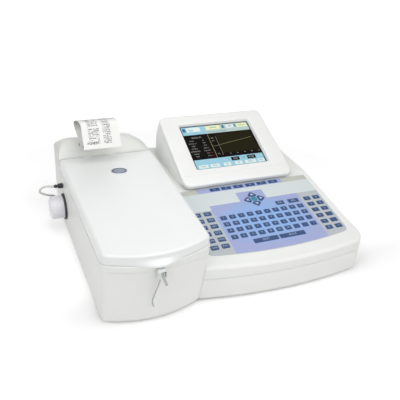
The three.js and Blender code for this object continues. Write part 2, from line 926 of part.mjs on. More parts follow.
// Finned lamp housing, open towards the lens and on top
function lampHousing() {
  const left = lightX - lampWidth / 2;
  const body = block(left, left + lampWidth, lampFrontY, lampFrontY + lampDepth, baseTop, lampTop);
  const hollow = block(
    left + lampWall * 2,
    left + lampWidth - lampWall * 2,
    lampFrontY + lampWall,
    lampFrontY + lampDepth - lampWall,
    baseTop + lampWall,
    lampTop + overrun,
  );
  const window = rod("y", [lightX, lampFrontY - overrun, lightZ], lensRadius * 0.7, lampWall + overrun * 2);
  const slots = [];
  for (let i = 0; i < lampFinCount; i += 1) {
    const y = lampFrontY + (lampDepth * (i + 0.7)) / (lampFinCount + 0.4);
    for (const x of [left - overrun, left + lampWidth - lampFinDepth])
      slots.push(block(x, x + lampFinDepth + overrun, y, y + lampWall / 2, baseTop + lampWall, lampTop + overrun));
  }
  return cut(body, hollow, window, ...slots);
}

// Halogen lamp: ceramic base and capsule bulb
function halogenLamp() {
  const z = baseTop + lampWall + seatGap;
  return turned("z", [lightX, lampFrontY + lampDepth / 2, z], [
    [0, 0],
    [lampBulbRadius * 1.3, 0],
    [lampBulbRadius * 1.3, lampBaseHeight],
    [lampBulbRadius * 0.7, lampBaseHeight],
    [lampBulbRadius, lampBaseHeight + lampBulbHeight * 0.3],
    [lampBulbRadius, lampBaseHeight + lampBulbHeight * 0.75],
    [lampBulbRadius * 0.6, lampBaseHeight + lampBulbHeight * 0.93],
    [0, lampBaseHeight + lampBulbHeight],
  ]);
}

// The printer hump in side view, drawn in by an inset: sloped front, rounded crest, falling back
function humpProfile(inset) {
  const bottom = towerHeight + runningGap;
  const top = towerHeight + humpHeight - inset;
  return rounded(
    [
      [humpFrontY + inset, bottom - (inset ? overrun : 0)],
      [humpFrontY + inset, towerHeight + humpShoulder],
      [humpCrestY - humpWall * 2 + inset / 2, top, humpWall * 2],
      [humpCrestY + humpWall * 3, top, humpWall * 4],
      [towerBackY - inset, bottom + humpShoulder, humpWall * 2],
      [towerBackY - inset, bottom - (inset ? overrun : 0)],
    ],
    3,
  );
}

// The hump seen from the front: rounded on the left, sloped down to the lid's level on the right
function humpFront(inset) {
  const top = towerHeight + humpHeight + overrun;
  const right = towerBackWidth;
  const crest = towerHeight + humpHeight - inset;
  return rounded(
    [
      [inset, towerHeight - overrun],
      [right - inset, towerHeight - overrun],
      [right - inset, towerHeight + humpShoulder * 0.35],
      [right - humpRightSlope - inset * 0.4, crest - humpLeftRound * 0.4, humpLeftRound],
      [right - humpRightSlope * 2.2, crest + overrun / 4],
      [right - humpRightSlope * 2.2, top],
      [inset + humpLeftRound * 2.8, top],
      [inset + humpLeftRound * 0.55, crest - humpLeftRound * 0.8, humpLeftRound / 3],
      [inset, crest - humpLeftRound * 1.5, humpLeftRound / 2],
    ].map(([x, z, radius]) => [x, z, radius || 0]),
    3,
  );
}

// The solid form of the hump, its walls drawn in by an inset
function humpForm(inset) {
  return common(
    prism(humpProfile(inset), -overrun, towerBackWidth + overrun, "x"),
    prism(humpFront(inset), humpFrontY - overrun, towerBackY + overrun, "y"),
    loft([
      level(towerOutline(inset, 0), towerHeight - overrun * 2),
      level(towerOutline(inset, 0), towerHeight + humpHeight + overrun),
    ]),
  );
}

// The space that the roll cover takes out of the hump, widened by a gap
function coverSpace(gap) {
  return block(
    slotCentreX - coverReachLeft - gap,
    slotCentreX + coverReachRight + gap,
    coverFrontY - gap,
    coverBackY + gap,
    towerHeight + humpShoulder + overrun,
    towerHeight + humpHeight + overrun,
  );
}

// Printer housing: the moulded hump with a paper slot in its slope and an opening over the roll
function printerHousing() {
  const slot = block(
    slotCentreX - slotWidth / 2,
    slotCentreX + slotWidth / 2,
    humpFrontY - overrun,
    coverFrontY - humpWall,
    slotZ,
    slotZ + slotHeight,
  );
  const ears = lugPlaces.map((x) => hingeEar(x, 0));
  const bores = lugPlaces.map((x) =>
    rod(
      "x",
      [x - hingeEarWidth - overrun, hingeY, hingeZ],
      hingePinRadius + seatGap / 6,
      hingeEarWidth + overrun * 2,
      smallSides,
    ),
  );
  return cut(join(cut(humpForm(0), humpForm(humpWall)), ...ears), coverSpace(seatGap), slot, ...bores);
}

// Roll cover: the part of the hump's skin over the roll, which swings back about its outer rear edge
function rollCover() {
  return common(cut(humpForm(0), humpForm(humpWall)), coverSpace(0));
}

// Paper roll on its card core
function paperRoll() {
  const x = slotCentreX - rollWidth / 2;
  return cut(
    rod("x", [x, rollY, rollZ], rollRadius, rollWidth, smallSides * 2),
    rod("x", [x - overrun, rollY, rollZ], coreRadius, rollWidth + overrun * 2),
  );
}

// Spindle that the roll turns on, held in the cradle at both ends
function paperSpindle() {
  const x = slotCentreX - rollWidth / 2 - overrun;
  return join(
    rod("x", [x, rollY, rollZ], spindleRadius, rollWidth + overrun * 2),
    rod("x", [x + overrun, rollY, rollZ], coreRadius - seatGap, rollWidth),
  );
}

// Roll cradle: two cheeks on a base plate over the deck, which hold the spindle and the platen
function rollCradle() {
  const left = slotCentreX - rollWidth / 2 - overrun;
  const right = slotCentreX + rollWidth / 2 + overrun;
  const cheekWidth = overrun - seatGap * 3;
  const base = block(
    left,
    right,
    humpFrontY + humpWall + runningGap,
    towerBackY - towerWall - humpWall,
    deckZ + deckThickness + seatGap,
    deckZ + deckThickness * 2,
  );
  const cheek = (x) =>
    prism(
      [
        [platenY - platenRadius * 1.2, deckZ + deckThickness * 1.5],
        [rollY + coreRadius * 1.6, deckZ + deckThickness * 1.5],
        [rollY + coreRadius * 1.2, rollZ + coreRadius],
        [rollY - coreRadius, rollZ + coreRadius],
        [platenY + platenRadius, platenZ + platenRadius],
        [platenY - platenRadius * 1.2, platenZ + platenRadius * 0.6],
      ].map(([y, z]) => new THREE.Vector2(y, z)),
      x,
      x + cheekWidth,
      "x",
    );
  const holes = [
    rod("x", [left - overrun, rollY, rollZ], spindleRadius + seatGap, rollWidth + overrun * 4),
    rod("x", [left - overrun, platenY, platenZ], platenRadius * 0.5 + seatGap, rollWidth + overrun * 4),
  ];
  return cut(join(base, cheek(left), cheek(right - cheekWidth)), ...holes);
}

// Rubber platen that draws the paper past the print head
function platenRoller() {
  const x = slotCentreX - rollWidth / 2;
  return join(
    rod("x", [x, platenY, platenZ], platenRadius, rollWidth),
    rod("x", [x - overrun, platenY, platenZ], platenRadius * 0.5, rollWidth + overrun * 2),
  );
}

// Thermal head: a bar that bears on the platen from the front, on a foot to the cradle's base
function printHead() {
  const x = slotCentreX - rollWidth / 2 + seatGap;
  const y = platenY - platenRadius - seatGap * 2 - headThickness;
  return block(
    x,
    x + rollWidth - seatGap * 2,
    Math.max(y, humpFrontY + humpWall + seatGap),
    platenY - platenRadius - seatGap * 2,
    deckZ + deckThickness * 2 + seatGap,
    platenZ + platenRadius * 0.4,
  );
}

const slotMiddleZ = slotZ + slotHeight / 2;

// Printed strip: rises out of the slot, curls forward and hangs over the back of the lid
function paperStrip() {
  const lean = THREE.MathUtils.degToRad(paperLeanDeg);
  const start = new THREE.Vector2(platenY, slotMiddleZ - slotHeight * 0.2);
  const centre = [];
  centre.push(start);
  const face = new THREE.Vector2(platenY - platenRadius * 1.4, slotMiddleZ);
  centre.push(face);
  const riseTop = new THREE.Vector2(face.x + paperRise * 0.08, face.y + paperRise - paperCurlRadius);
  for (let i = 1; i <= 4; i += 1) {
    const share = i / 4;
    centre.push(
      new THREE.Vector2(
        face.x - paperThickness * 4 * Math.sin(Math.PI * share) + (riseTop.x - face.x) * share,
        face.y + (riseTop.y - face.y) * share,
      ),
    );
  }
  const middle = new THREE.Vector2(riseTop.x - paperCurlRadius, riseTop.y);
  const last = Math.PI - lean;
  for (let i = 1; i <= 8; i += 1) {
    const angle = (last * i) / 8;
    centre.push(
      new THREE.Vector2(
        middle.x + paperCurlRadius * Math.cos(angle),
        middle.y + paperCurlRadius * Math.sin(angle),
      ),
    );
  }
  const end = centre[centre.length - 1];
  centre.push(new THREE.Vector2(end.x - paperDrop * Math.sin(lean), end.y - paperDrop * Math.cos(lean)));
  const above = [];
  const below = [];
  centre.forEach((point, i) => {
    const before = centre[Math.max(i - 1, 0)];
    const after = centre[Math.min(i + 1, centre.length - 1)];
    const side = after.clone().sub(before).normalize().rotateAround(new THREE.Vector2(), Math.PI / 2);
    above.push(point.clone().addScaledVector(side, paperThickness / 2));
    below.push(point.clone().addScaledVector(side, -paperThickness / 2));
  });
  return prism(above.concat(below.reverse()), slotCentreX - paperWidth / 2, slotCentreX + paperWidth / 2, "x");
}

// Black ring that the pump head clips on, screwed to the left wall, with a boss through to the motor
function pumpRing() {
  return cut(
    turned("x", [-pumpRingDepth - seatGap, pumpY, pumpZ], [
      [0, 0],
      [pumpRingRadius - pumpRingDepth / 4, 0],
      [pumpRingRadius, pumpRingDepth / 4],
      [pumpRingRadius, pumpRingDepth],
      [0, pumpRingDepth],
    ]),
    rod("x", [-overrun * 3, pumpY, pumpZ], pumpShaftRadius + runningGap, overrun * 4),
    cut(
      rod("x", [-overrun - pumpRingDepth, pumpY, pumpZ], pumpCoverRadius + seatGap, overrun + pumpRingDepth / 2),
      rod("x", [-overrun * 2 - pumpRingDepth, pumpY, pumpZ], pumpCoverRadius - pumpCoverWall - seatGap, overrun * 3),
    ),
  );
}

// Pump motor inside the wall, on the pump's axis
function pumpMotor() {
  const body = turned("x", [towerWall + seatGap, pumpY, pumpZ], [
    [0, 0],
    [pumpMotorRadius, 0],
    [pumpMotorRadius, pumpMotorLength * 0.85],
    [pumpMotorRadius * 0.6, pumpMotorLength],
    [0, pumpMotorLength],
  ]);
  return cut(body, rod("x", [-overrun, pumpY, pumpZ], pumpShaftRadius + runningGap, towerWall + overrun * 3));
}

const pumpPlateX = -pumpRingDepth - seatGap * 3 - pumpRotorPlate;
const pumpRollerX = pumpPlateX - seatGap - pumpRollerLength;
const pumpFrontPlateX = pumpRollerX - seatGap - pumpRotorPlate;

// Pump rotor: two plates on a shaft, with an axle for each roller
function pumpRotor() {
  const shaft = rod("x", [pumpFrontPlateX, pumpY, pumpZ], pumpShaftRadius, towerWall * 3 - pumpFrontPlateX);
  const plates = [pumpPlateX, pumpFrontPlateX].map((x) =>
    rod("x", [x, pumpY, pumpZ], pumpRollerOrbit + pumpRollerRadius / 2, pumpRotorPlate),
  );
  const axles = rollerPlaces.map(([y, z]) =>
    rod("x", [pumpFrontPlateX, y, z], pumpRollerRadius / 3, pumpPlateX - pumpFrontPlateX + pumpRotorPlate, smallSides),
  );
  return join(shaft, ...plates, ...axles);
}

const rollerPlaces = [0, 1, 2].map((i) => {
  const angle = Math.PI / 2 + (2 * Math.PI * i) / 3;
  return [pumpY + pumpRollerOrbit * Math.cos(angle), pumpZ + pumpRollerOrbit * Math.sin(angle)];
});

function pumpRoller([y, z]) {
  return cut(
    rod("x", [pumpRollerX, y, z], pumpRollerRadius, pumpRollerLength),
    rod("x", [pumpRollerX - overrun, y, z], pumpRollerRadius / 3 + seatGap, pumpRollerLength + overrun * 2, smallSides),
  );
}

const pumpTubeX = pumpRollerX + pumpRollerLength / 2;

// Translucent pump cover: a cup with a domed edge, notched where the tube goes in and out
function pumpCover() {
  const reach = pumpCoverReach;
  const mouth = -pumpRingDepth / 2 - seatGap * 2;
  const outer = turned("x", [-reach, pumpY, pumpZ], [
    [0, 0],
    [pumpCoverRadius * 0.78, 0],
    [pumpCoverRadius * 0.93, pumpCoverWall],
    [pumpCoverRadius, pumpCoverWall * 3],
    [pumpCoverRadius, reach + mouth],
    [0, reach + mouth],
  ]);
  const inner = turned("x", [-reach + pumpCoverWall, pumpY, pumpZ], [
    [0, 0],
    [pumpCoverRadius * 0.72, 0],
    [pumpCoverRadius - pumpCoverWall, pumpCoverWall * 2],
    [pumpCoverRadius - pumpCoverWall, reach + overrun],
    [0, reach + overrun],
  ]);
  const half = pumpTubeRadius + runningGap;
  const notches = [1, -1].map((side) =>
    block(
      pumpTubeX - half,
      overrun,
      Math.min(pumpY + pumpTubeOrbit - half * side, pumpY + pumpTubeOrbit) - half,
      pumpY + pumpTubeOrbit + pumpCoverRadius,
      pumpZ + (side > 0 ? half * 0.4 : -pumpTubeOrbit * 0.2 - half * 4),
      pumpZ + (side > 0 ? pumpTubeOrbit * 0.2 + half * 3 : -half * 0.4),
    ),
  );
  return cut(cut(outer, inner), ...notches);
}

// Tube squeezed by the rollers: from the wall fitting out in a loop, round the rotor, and out below
function pumpTube() {
  const points = [
    [-fittingReach - seatGap * 2, fittingY, fittingZ],
    [-fittingReach - tubeLoopReach * 0.35, fittingY, fittingZ + pumpTubeRadius],
    [-fittingReach - tubeLoopReach * 0.55, fittingY + pumpTubeRadius, fittingZ - pumpTubeRadius * 4],
    [-fittingReach - tubeLoopReach * 0.3, fittingY + pumpTubeRadius * 4, fittingZ - pumpTubeRadius * 10],
    [pumpTubeX, pumpY + pumpTubeOrbit + pumpTubeRadius * 5, pumpZ + pumpTubeRadius * 5],
    [pumpTubeX, pumpY + pumpTubeOrbit + pumpTubeRadius, pumpZ + pumpTubeRadius * 1.6],
  ];
  const last = 2 * Math.PI - 0.62;
  for (let i = 0; i <= 10; i += 1) {
    const angle = 0.3 + ((last - 0.3) * i) / 10;
    points.push([pumpTubeX, pumpY + pumpTubeOrbit * Math.cos(angle), pumpZ + pumpTubeOrbit * Math.sin(angle)]);
  }
  points.push([pumpTubeX, pumpY + pumpTubeOrbit + pumpTubeRadius * 2, pumpZ - pumpTubeRadius * 5]);
  points.push([pumpTubeX + pumpTubeRadius, pumpY + pumpTubeOrbit + pumpTubeRadius * 3, pumpZ - pumpTubeRadius * 10]);
  return tube(points, pumpTubeRadius, pumpTubeSteps, 8);
}

// Black barbed fitting through the left wall
function sideFitting() {
  return turned("x", [-fittingReach, fittingY, fittingZ], [
    [0, 0],
    [fittingRadius * 0.55, 0],
    [fittingRadius * 0.8, fittingReach * 0.3],
    [fittingRadius * 0.55, fittingReach * 0.3],
    [fittingRadius * 0.55, fittingReach * 0.45],
    [fittingRadius, fittingReach * 0.45],
    [fittingRadius, fittingReach - seatGap],
    [fittingRadius / 2, fittingReach - seatGap],
    [fittingRadius / 2, fittingReach + towerWall * 2],
    [0, fittingReach + towerWall * 2],
  ], smallSides);
}

// How far forward the tower's front stands at a place across and a height
const towerFrontAt = (x, z) => bowAt(x / towerFrontWidth, leanAt(z));

const sipperBackY = towerFrontAt(sipperX, sipperTopZ) - seatGap - rimBandProud * 1.4;
const sipperFrontY = sipperBackY - sipperDepth;
const paddleHinge = [sipperX, sipperFrontY + sipperDepth * 0.38, sipperTopZ - sipperHeight * 0.58];

// Sipper holder: a small tapered housing on the front, slotted for the paddle, with a stem into the wall
function sipperHolder() {
  const bottom = sipperTopZ - sipperHeight;
  const half = sipperWidth / 2;
  const body = loft([
    level(rounded(rectangle(sipperX - half, sipperX + half, sipperFrontY + 2 * seatGap, sipperBackY, half / 4), 2), bottom),
    level(rounded(rectangle(sipperX - half, sipperX + half, sipperFrontY, sipperBackY, half / 3), 2), bottom + sipperHeight * 0.3),
    level(rounded(rectangle(sipperX - half, sipperX + half, sipperFrontY, sipperBackY, half / 3), 2), sipperTopZ - half / 2),
    level(rounded(rectangle(sipperX - half * 0.8, sipperX + half * 0.8, sipperFrontY + half / 2, sipperBackY, half / 4), 2), sipperTopZ),
  ]);
  const slot = block(
    sipperX - half * 0.32,
    sipperX + half * 0.86,
    sipperFrontY - overrun,
    sipperFrontY + sipperDepth * 0.7,
    bottom - overrun,
    sipperTopZ - sipperHeight * 0.18,
  );
  const stem = rod(
    "y",
    [sipperX, sipperBackY - seatGap, sipperTopZ - sipperHeight / 2],
    sipperTubeRadius * 2,
    towerWall * 2,
    smallSides,
  );
  const tubeHole = rod(
    "z",
    [sipperX - half * 0.62, sipperFrontY + sipperDepth * 0.5, bottom - overrun],
    sipperTubeRadius + seatGap,
    sipperHeight * 0.6 + overrun,
    8,
  );
  const pinHole = rod(
    "x",
    [sipperX - half - overrun, paddleHinge[1], paddleHinge[2]],
    paddlePinRadius + seatGap / 4,
    sipperWidth + overrun * 2,
    smallSides,
  );
  return cut(join(body, stem), slot, tubeHole, pinHole);
}

// Sampling paddle: a slender lever that splays out to the right, hung on a pin in the holder
function sipperPaddle() {
  const [x, y, z] = paddleHinge;
  const left = x - paddleTopWidth * 0.4;
  const lever = prism(
    rounded(
      [
        [left, z],
        [left + paddleSplay, z - paddleLength, paddleWidth * 0.45],
        [left + paddleSplay + paddleWidth, z - paddleLength, paddleWidth * 0.45],
        [left + paddleTopWidth, z],
      ],
      3,
    ),
    y - paddleThickness / 2,
    y + paddleThickness / 2,
    "y",
  );
  const eye = rod("x", [left, y, z], paddleTopWidth * 0.7, paddleTopWidth, smallSides);
  const bore = rod("x", [left - overrun, y, z], paddlePinRadius + seatGap, paddleTopWidth + overrun * 2, smallSides);
  return cut(join(lever, eye), bore);
}

function paddlePin() {
  return rod(
    "x",
    [sipperX - sipperWidth * 0.45, paddleHinge[1], paddleHinge[2]],
    paddlePinRadius - seatGap / 4,
    sipperWidth * 0.9,
    smallSides,
  );
}

// Sipper tube: a thin flexible tube that hangs from the holder with a slight bow
function sipperTube() {
  const x = sipperX - sipperWidth * 0.31;
  const y = sipperFrontY + sipperDepth * 0.5;
  const top = sipperTopZ - sipperHeight * 0.74;
  return tube(
    [
      [x, y, top],
      [x, y, top - sipperTubeDrop * 0.08],
      [x, y, top - sipperTubeDrop * 0.16],
      [x - sipperTubeSway * 0.35, y, top - sipperTubeDrop * 0.35],
      [x - sipperTubeSway * 0.85, y + sipperTubeRadius, top - sipperTubeDrop * 0.65],
      [x - sipperTubeSway, y + sipperTubeRadius * 2, top - sipperTubeDrop * 0.85],
      [x - sipperTubeSway * 0.8, y + sipperTubeRadius * 2, top - sipperTubeDrop],
    ],
    sipperTubeRadius,
    16,
    8,
  );
}

// The tower's outer form, grown by a gap
const towerHull = (gap) => {
  const under = leanAt(-overrun);
  const over = leanAt(towerHeight + overrun);
  return loft([level(towerOutline(-gap, under), -overrun), level(towerOutline(-gap, over), towerHeight + overrun)]);
};

// The console in plan, its front carried on behind the tower's rounded corner
function consoleOutline(inset = 0) {
  const leftAt = (y) =>
    towerFrontWidth +
    towerJointGap +
    ((towerBackWidth - towerFrontWidth) * (y - towerFrontY)) / (towerBackY - towerFrontY);
  const right = consoleRightX - inset;
  const front = consoleBulge + inset;
  const back = consoleBackY - inset;
  const corners = [];
  const start = leftAt(front) + inset;
  const reach = -towerFrontRadius / (right - start);
  for (let i = 0; i < frontSteps; i += 1) {
    const share = reach + ((1 - reach) * i) / frontSteps;
    corners.push([start + (right - start) * share, front - consoleBulge * (1 - (2 * share - 1) ** 2)]);
  }
  corners.push([right, front, Math.max(consoleCornerRadius - inset, seatGap)]);
  corners.push([right, back, Math.max(consoleBackRadius - inset, seatGap)]);
  corners.push([leftAt(back) + inset, back]);
  return rounded(corners);
}

// Height of the console's sloped top at a place from front to back
const slopeAt = (y) => consoleFrontHeight + y * Math.tan(keySlope);

// The console's form under its sloped top and its flat back, with the top edges rounded off
function consoleForm(inset, drop, bottom) {
  const round = Math.max(consoleEdgeRound - inset, seatGap);
  const ringsUnder = (heightAt) =>
    [level(consoleOutline(inset), bottom)].concat(
      quarterShares.map(([shareIn, rise]) =>
        consoleOutline(inset + round * shareIn).map(
          (point) => new THREE.Vector3(point.x, point.y, heightAt(point.y) - drop - round + round * rise),
        ),
      ),
    );
  return common(loft(ringsUnder(slopeAt)), loft(ringsUnder(() => consoleDeckHeight)));
}

// Console base: a shallow tray with standoffs for the board and the supply
function consoleBase() {
  const outer = cut(
    loft([
      level(consoleOutline(towerFootBevel), 0),
      level(consoleOutline(0), towerFootBevel),
      level(consoleOutline(0), consoleBaseHeight),
    ]),
    towerHull(towerJointGap),
  );
  const inner = cut(
    loft([
      level(consoleOutline(consoleWall), consoleWall),
      level(consoleOutline(consoleWall), consoleBaseHeight + overrun),
    ]),
    towerHull(towerJointGap + consoleWall),
  );
  const standoffs = boardScrews.concat(supplyScrews).map(([x, y]) =>
    rod("z", [x, y, consoleWall - seatGap], standoffRadius, boardZ - consoleWall, smallSides),
  );
  const stems = footPlaces
    .filter(([x]) => x > towerBackWidth)
    .map(([x, y]) => rod("z", [x, y, -overrun], footStemRadius + seatGap, overrun * 2 + consoleWall, smallSides));
  const vents = [];
  for (let i = 0; i < 8; i += 1) {
    const x = supplyLeft + ((supplyRight - supplyLeft) * (i + 0.5)) / 8;
    vents.push(block(x, x + consoleWall, supplyFront, supplyBack - overrun, -overrun, consoleWall + overrun));
  }
  return cut(join(cut(outer, inner), ...standoffs), ...stems, ...vents);
}

const boardScrews = [
  [boardLeft + standoffRadius * 1.5, boardFront + standoffRadius * 1.5],
  [boardRight - standoffRadius * 1.5, boardFront + standoffRadius * 1.5],
  [boardLeft + standoffRadius * 1.5, boardBack - standoffRadius * 1.5],
  [boardRight - standoffRadius * 1.5, boardBack - standoffRadius * 1.5],
];

const supplyScrews = [
  [supplyLeft + standoffRadius * 2, supplyFront + standoffRadius * 3],
  [supplyRight - standoffRadius * 2, supplyFront + standoffRadius * 3],
  [supplyLeft + standoffRadius * 2, supplyBack - standoffRadius * 3],
  [supplyRight - standoffRadius * 2, supplyBack - standoffRadius * 3],
];

// The overlay's outline in the keypad's plane: straight sides, a sagging front edge, rounded corners
function overlayOutline(inset) {
  const left = overlayLeft + inset;
  const right = overlayRight - inset;
  const bottom = overlayBottom + inset;
  const corners = [[left, bottom, overlayCorner - inset]];
  for (let i = 1; i < frontSteps; i += 1) {
    const share = i / frontSteps;
    corners.push([left + (right - left) * share, bottom - overlaySag * (1 - (2 * share - 1) ** 2)]);
  }
  corners.push([right, bottom, overlayCorner - inset]);
  corners.push([right, overlayTop - inset, overlayCorner / 3]);
  corners.push([left, overlayTop - inset, overlayCorner / 3]);
  return rounded(corners);
}

// A solid made in the keypad's plane, moved to where that plane lies
function fromKeyPlane(solid) {
  const geometry = geometryOf(solid);
  geometry.rotateX(keySlope);
  geometry.translate(keyOriginX, keyOriginY, slopeAt(keyOriginY));
  return solidOf(geometry);
}

// A solid made in the display's plane, moved to where that plane lies
function fromDisplayPlane(solid) {
  const geometry = geometryOf(solid);
  geometry.rotateX(displayTilt);
  geometry.translate(screenX, screenY, screenZ);
  return solidOf(geometry);
}

// Console top: sloped keypad half with a shallow recess, flat back half with a cable opening under the display
function consoleTop() {
  const outer = cut(consoleForm(0, 0, consoleBaseHeight + runningGap), towerHull(towerJointGap));
  const inner = cut(
    consoleForm(consoleWall, consoleWall, consoleBaseHeight - overrun),
    towerHull(towerJointGap + consoleWall),
  );
  const recess = fromKeyPlane(prism(overlayOutline(0), -recessDepth, overrun * 2));
  const cableWay = block(
    screenX + screenWidth * 0.2,
    screenX + screenWidth * 0.8,
    screenY + screenHeight * 0.35,
    screenY + screenHeight * 0.7,
    consoleDeckHeight - consoleWall - overrun,
    consoleDeckHeight + overrun,
  );
  const rearOpening = block(
    panelLeft,
    panelRight,
    consoleBackY - consoleWall - overrun,
    consoleBackY + overrun,
    panelBottom,
    panelTop,
  );
  return cut(outer, inner, recess, cableWay, rearOpening);
}

// The membrane's keys: centre u, centre v, width and height of each
function keyList() {
  const keys = [];
  for (let row = 0; row < mainRows; row += 1)
    for (let column = 0; column < mainColumns; column += 1)
      keys.push([column * keyPitchU, -row * keyPitchV, keyWidth, keyHeight]);
  for (let row = 0; row < sideRows; row += 1)
    for (const u of [leftBlockU, leftBlockU + sideBlockPitch, rightBlockU, rightBlockU + sideBlockPitch])
      keys.push([u, (1 - row) * keyPitchV, keyWidth * 1.15, keyHeight]);
  keys.push([keyPitchU * 7, keyPitchV, keyWidth * 1.4, keyHeight]);
  keys.push([keyPitchU * 8.5, keyPitchV, keyWidth * 1.7, keyHeight]);
  keys.push([keyPitchU * 2.95, -mainRows * keyPitchV, wideKeyWidth, keyHeight]);
  keys.push([keyPitchU * 5.95, -mainRows * keyPitchV, wideKeyWidth, keyHeight]);
  for (let i = 0; i < functionKeyCount; i += 1)
    keys.push([keyWidth * 1.15 + i * functionKeyPitch, functionKeyV, keyWidth * 1.6, functionKeyHeight]);
  for (const [side, up] of [[0, 1], [0, -1], [1, 0], [-1, 0]])
    keys.push([cursorU + side * cursorPitchU, cursorV + up * cursorPitchV, keyWidth, keyHeight * 0.85]);
  keys.push([cursorU, cursorV, keyHeight * 0.75, keyHeight * 0.75]);
  return keys;
}

// Membrane keypad: one sheet with every key embossed in it
function keypadOverlay() {
  const top = overlayThickness - recessDepth + seatGap;
  const sheet = prism(overlayOutline(seatGap), top - overlayThickness, top);
  const keys = keyList().map(([u, v, width, height]) =>
    prism(
      rounded(rectangle(u - width / 2, u + width / 2, v - height / 2, v + height / 2)),
      top - overlayThickness / 2,
      top + keyProud,
    ),
  );
  return fromKeyPlane(join(sheet, ...keys));
}

const bezelLeft = -bezelSide;
const bezelRight = screenWidth + bezelSide;
const bezelTopV = screenHeight + bezelAbove;

// The display bezel's outline in the display's plane
const bezelOutline = (inset, chin = 0) =>
  rounded(
    rectangle(
      bezelLeft + inset,
      bezelRight - inset,
      -bezelBelow + inset + chin,
      bezelTopV - inset,
      Math.max(bezelCorner - inset, seatGap),
    ),
  );

// Display bezel: front frame with rounded edges and a window with sloped reveals
function displayBezel() {
  const frame = loft(
    [level(bezelOutline(0), -bezelDepth)].concat(
      quarterShares.map(([inset, rise]) =>
        level(bezelOutline(bezelEdgeRound * inset), bezelProud - bezelEdgeRound + bezelEdgeRound * rise),
      ),
    ),
  );
  const window = (grow, z) =>
    level(
      rounded(rectangle(-grow, screenWidth + grow, -grow, screenHeight + grow, bezelReveal)),
      z,
    );
  const opening = loft([
    window(seatGap, -bezelDepth - overrun),
    window(seatGap, seatGap),
    window(bezelReveal, bezelProud),
    window(bezelReveal, bezelProud + overrun),
  ]);
  const pocket = block(
    -screenFrame - seatGap,
    screenWidth + screenFrame + seatGap,
    -screenFrame - seatGap,
    screenHeight + screenFrame + seatGap,
    -bezelDepth - overrun,
    -seatGap,
  );
  return fromDisplayPlane(cut(frame, opening, pocket));
}

// Screen module: flat panel in a frame, held in the pocket behind the bezel
function screenPanel() {
  const body = block(
    -screenFrame,
    screenWidth + screenFrame,
    -screenFrame,
    screenHeight + screenFrame,
    -screenDepth,
    -seatGap * 2,
  );
  const face = block(
    seatGap,
    screenWidth - seatGap,
    seatGap,
    screenHeight - seatGap,
    -screenDepth / 2,
    seatGap / 3,
  );
  return fromDisplayPlane(join(body, face));
}

// Display hood: the wedge-shaped housing between the bezel and the console, open below and at the bezel
function displayHood() {
  const reach = screenHeight + bezelAbove + bezelBelow;
  const slopeFloor = (grow) => {
    const low = slopeAt(0) + grow;
    return prism(
      [
        [0, low],
        [(consoleDeckHeight - consoleFrontHeight) / Math.tan(keySlope), consoleDeckHeight + grow],
        [consoleBackY, consoleDeckHeight + grow],
        [consoleBackY, consoleDeckHeight + reach],
        [0, consoleDeckHeight + reach],
      ].map(([y, z]) => new THREE.Vector2(y, z)),
      screenX - bezelSide - overrun,
      screenX + screenWidth + bezelSide + overrun,
      "x",
    );
  };
  const backLimit = (inset) =>
    block(
      screenX - bezelSide - overrun,
      screenX + screenWidth + bezelSide + overrun,
      0,
      hoodBackY - inset,
      -overrun,
      consoleDeckHeight + reach,
    );
  const outer = common(
    fromDisplayPlane(prism(bezelOutline(0, hoodChin), -reach, -bezelDepth - seatGap)),
    backLimit(0),
    slopeFloor(seatGap),
  );
  const inner = common(
    fromDisplayPlane(prism(bezelOutline(hoodWall, hoodChin), -reach - overrun, -bezelDepth + overrun)),
    backLimit(hoodWall),
  );
  const slots = [];
  const slotPitch = hoodWall * 3;
  for (let i = 0; i < 9; i += 1) {
    const x = screenX + screenWidth / 2 + (i - 4) * slotPitch;
    slots.push(
      block(
        x - hoodWall / 2,
        x + hoodWall / 2,
        hoodBackY - hoodWall - overrun,
        hoodBackY + overrun,
        consoleDeckHeight + reach * 0.1,
        consoleDeckHeight + reach * 0.25,
      ),
    );
  }
  return cut(outer, inner, ...slots);
}

const panelY = consoleBackY - consoleWall - seatGap;
const panelMiddleZ = (panelBottom + panelTop) / 2;
const inletX = panelLeft + inletWidth;
const switchX = inletX + inletWidth;
const serialX = switchX + serialWidth * 1.1;
const serialTwoX = serialX + serialWidth * 1.25;

// Rear panel: a sheet plate behind the rear opening, cut for each connection
function rearPanel() {
  const plate = block(
    panelLeft - panelFlange,
    panelRight + panelFlange,
    panelY - panelThickness,
    panelY,
    panelBottom - panelThickness,
    panelTop - seatGap * 6,
  );
  const through = (x, width, height) =>
    block(
      x - width / 2 - seatGap,
      x + width / 2 + seatGap,
      panelY - panelThickness - overrun,
      panelY + overrun,
      panelMiddleZ - height / 2 - seatGap,
      panelMiddleZ + height / 2 + seatGap,
    );
  return cut(
    plate,
    through(inletX, inletWidth * 0.9, inletHeight * 0.9),
    through(switchX, switchWidth * 0.85, switchHeight * 0.9),
    through(serialX, serialShellWidth, serialShellHeight),
    through(serialTwoX, serialShellWidth, serialShellHeight),
  );
}

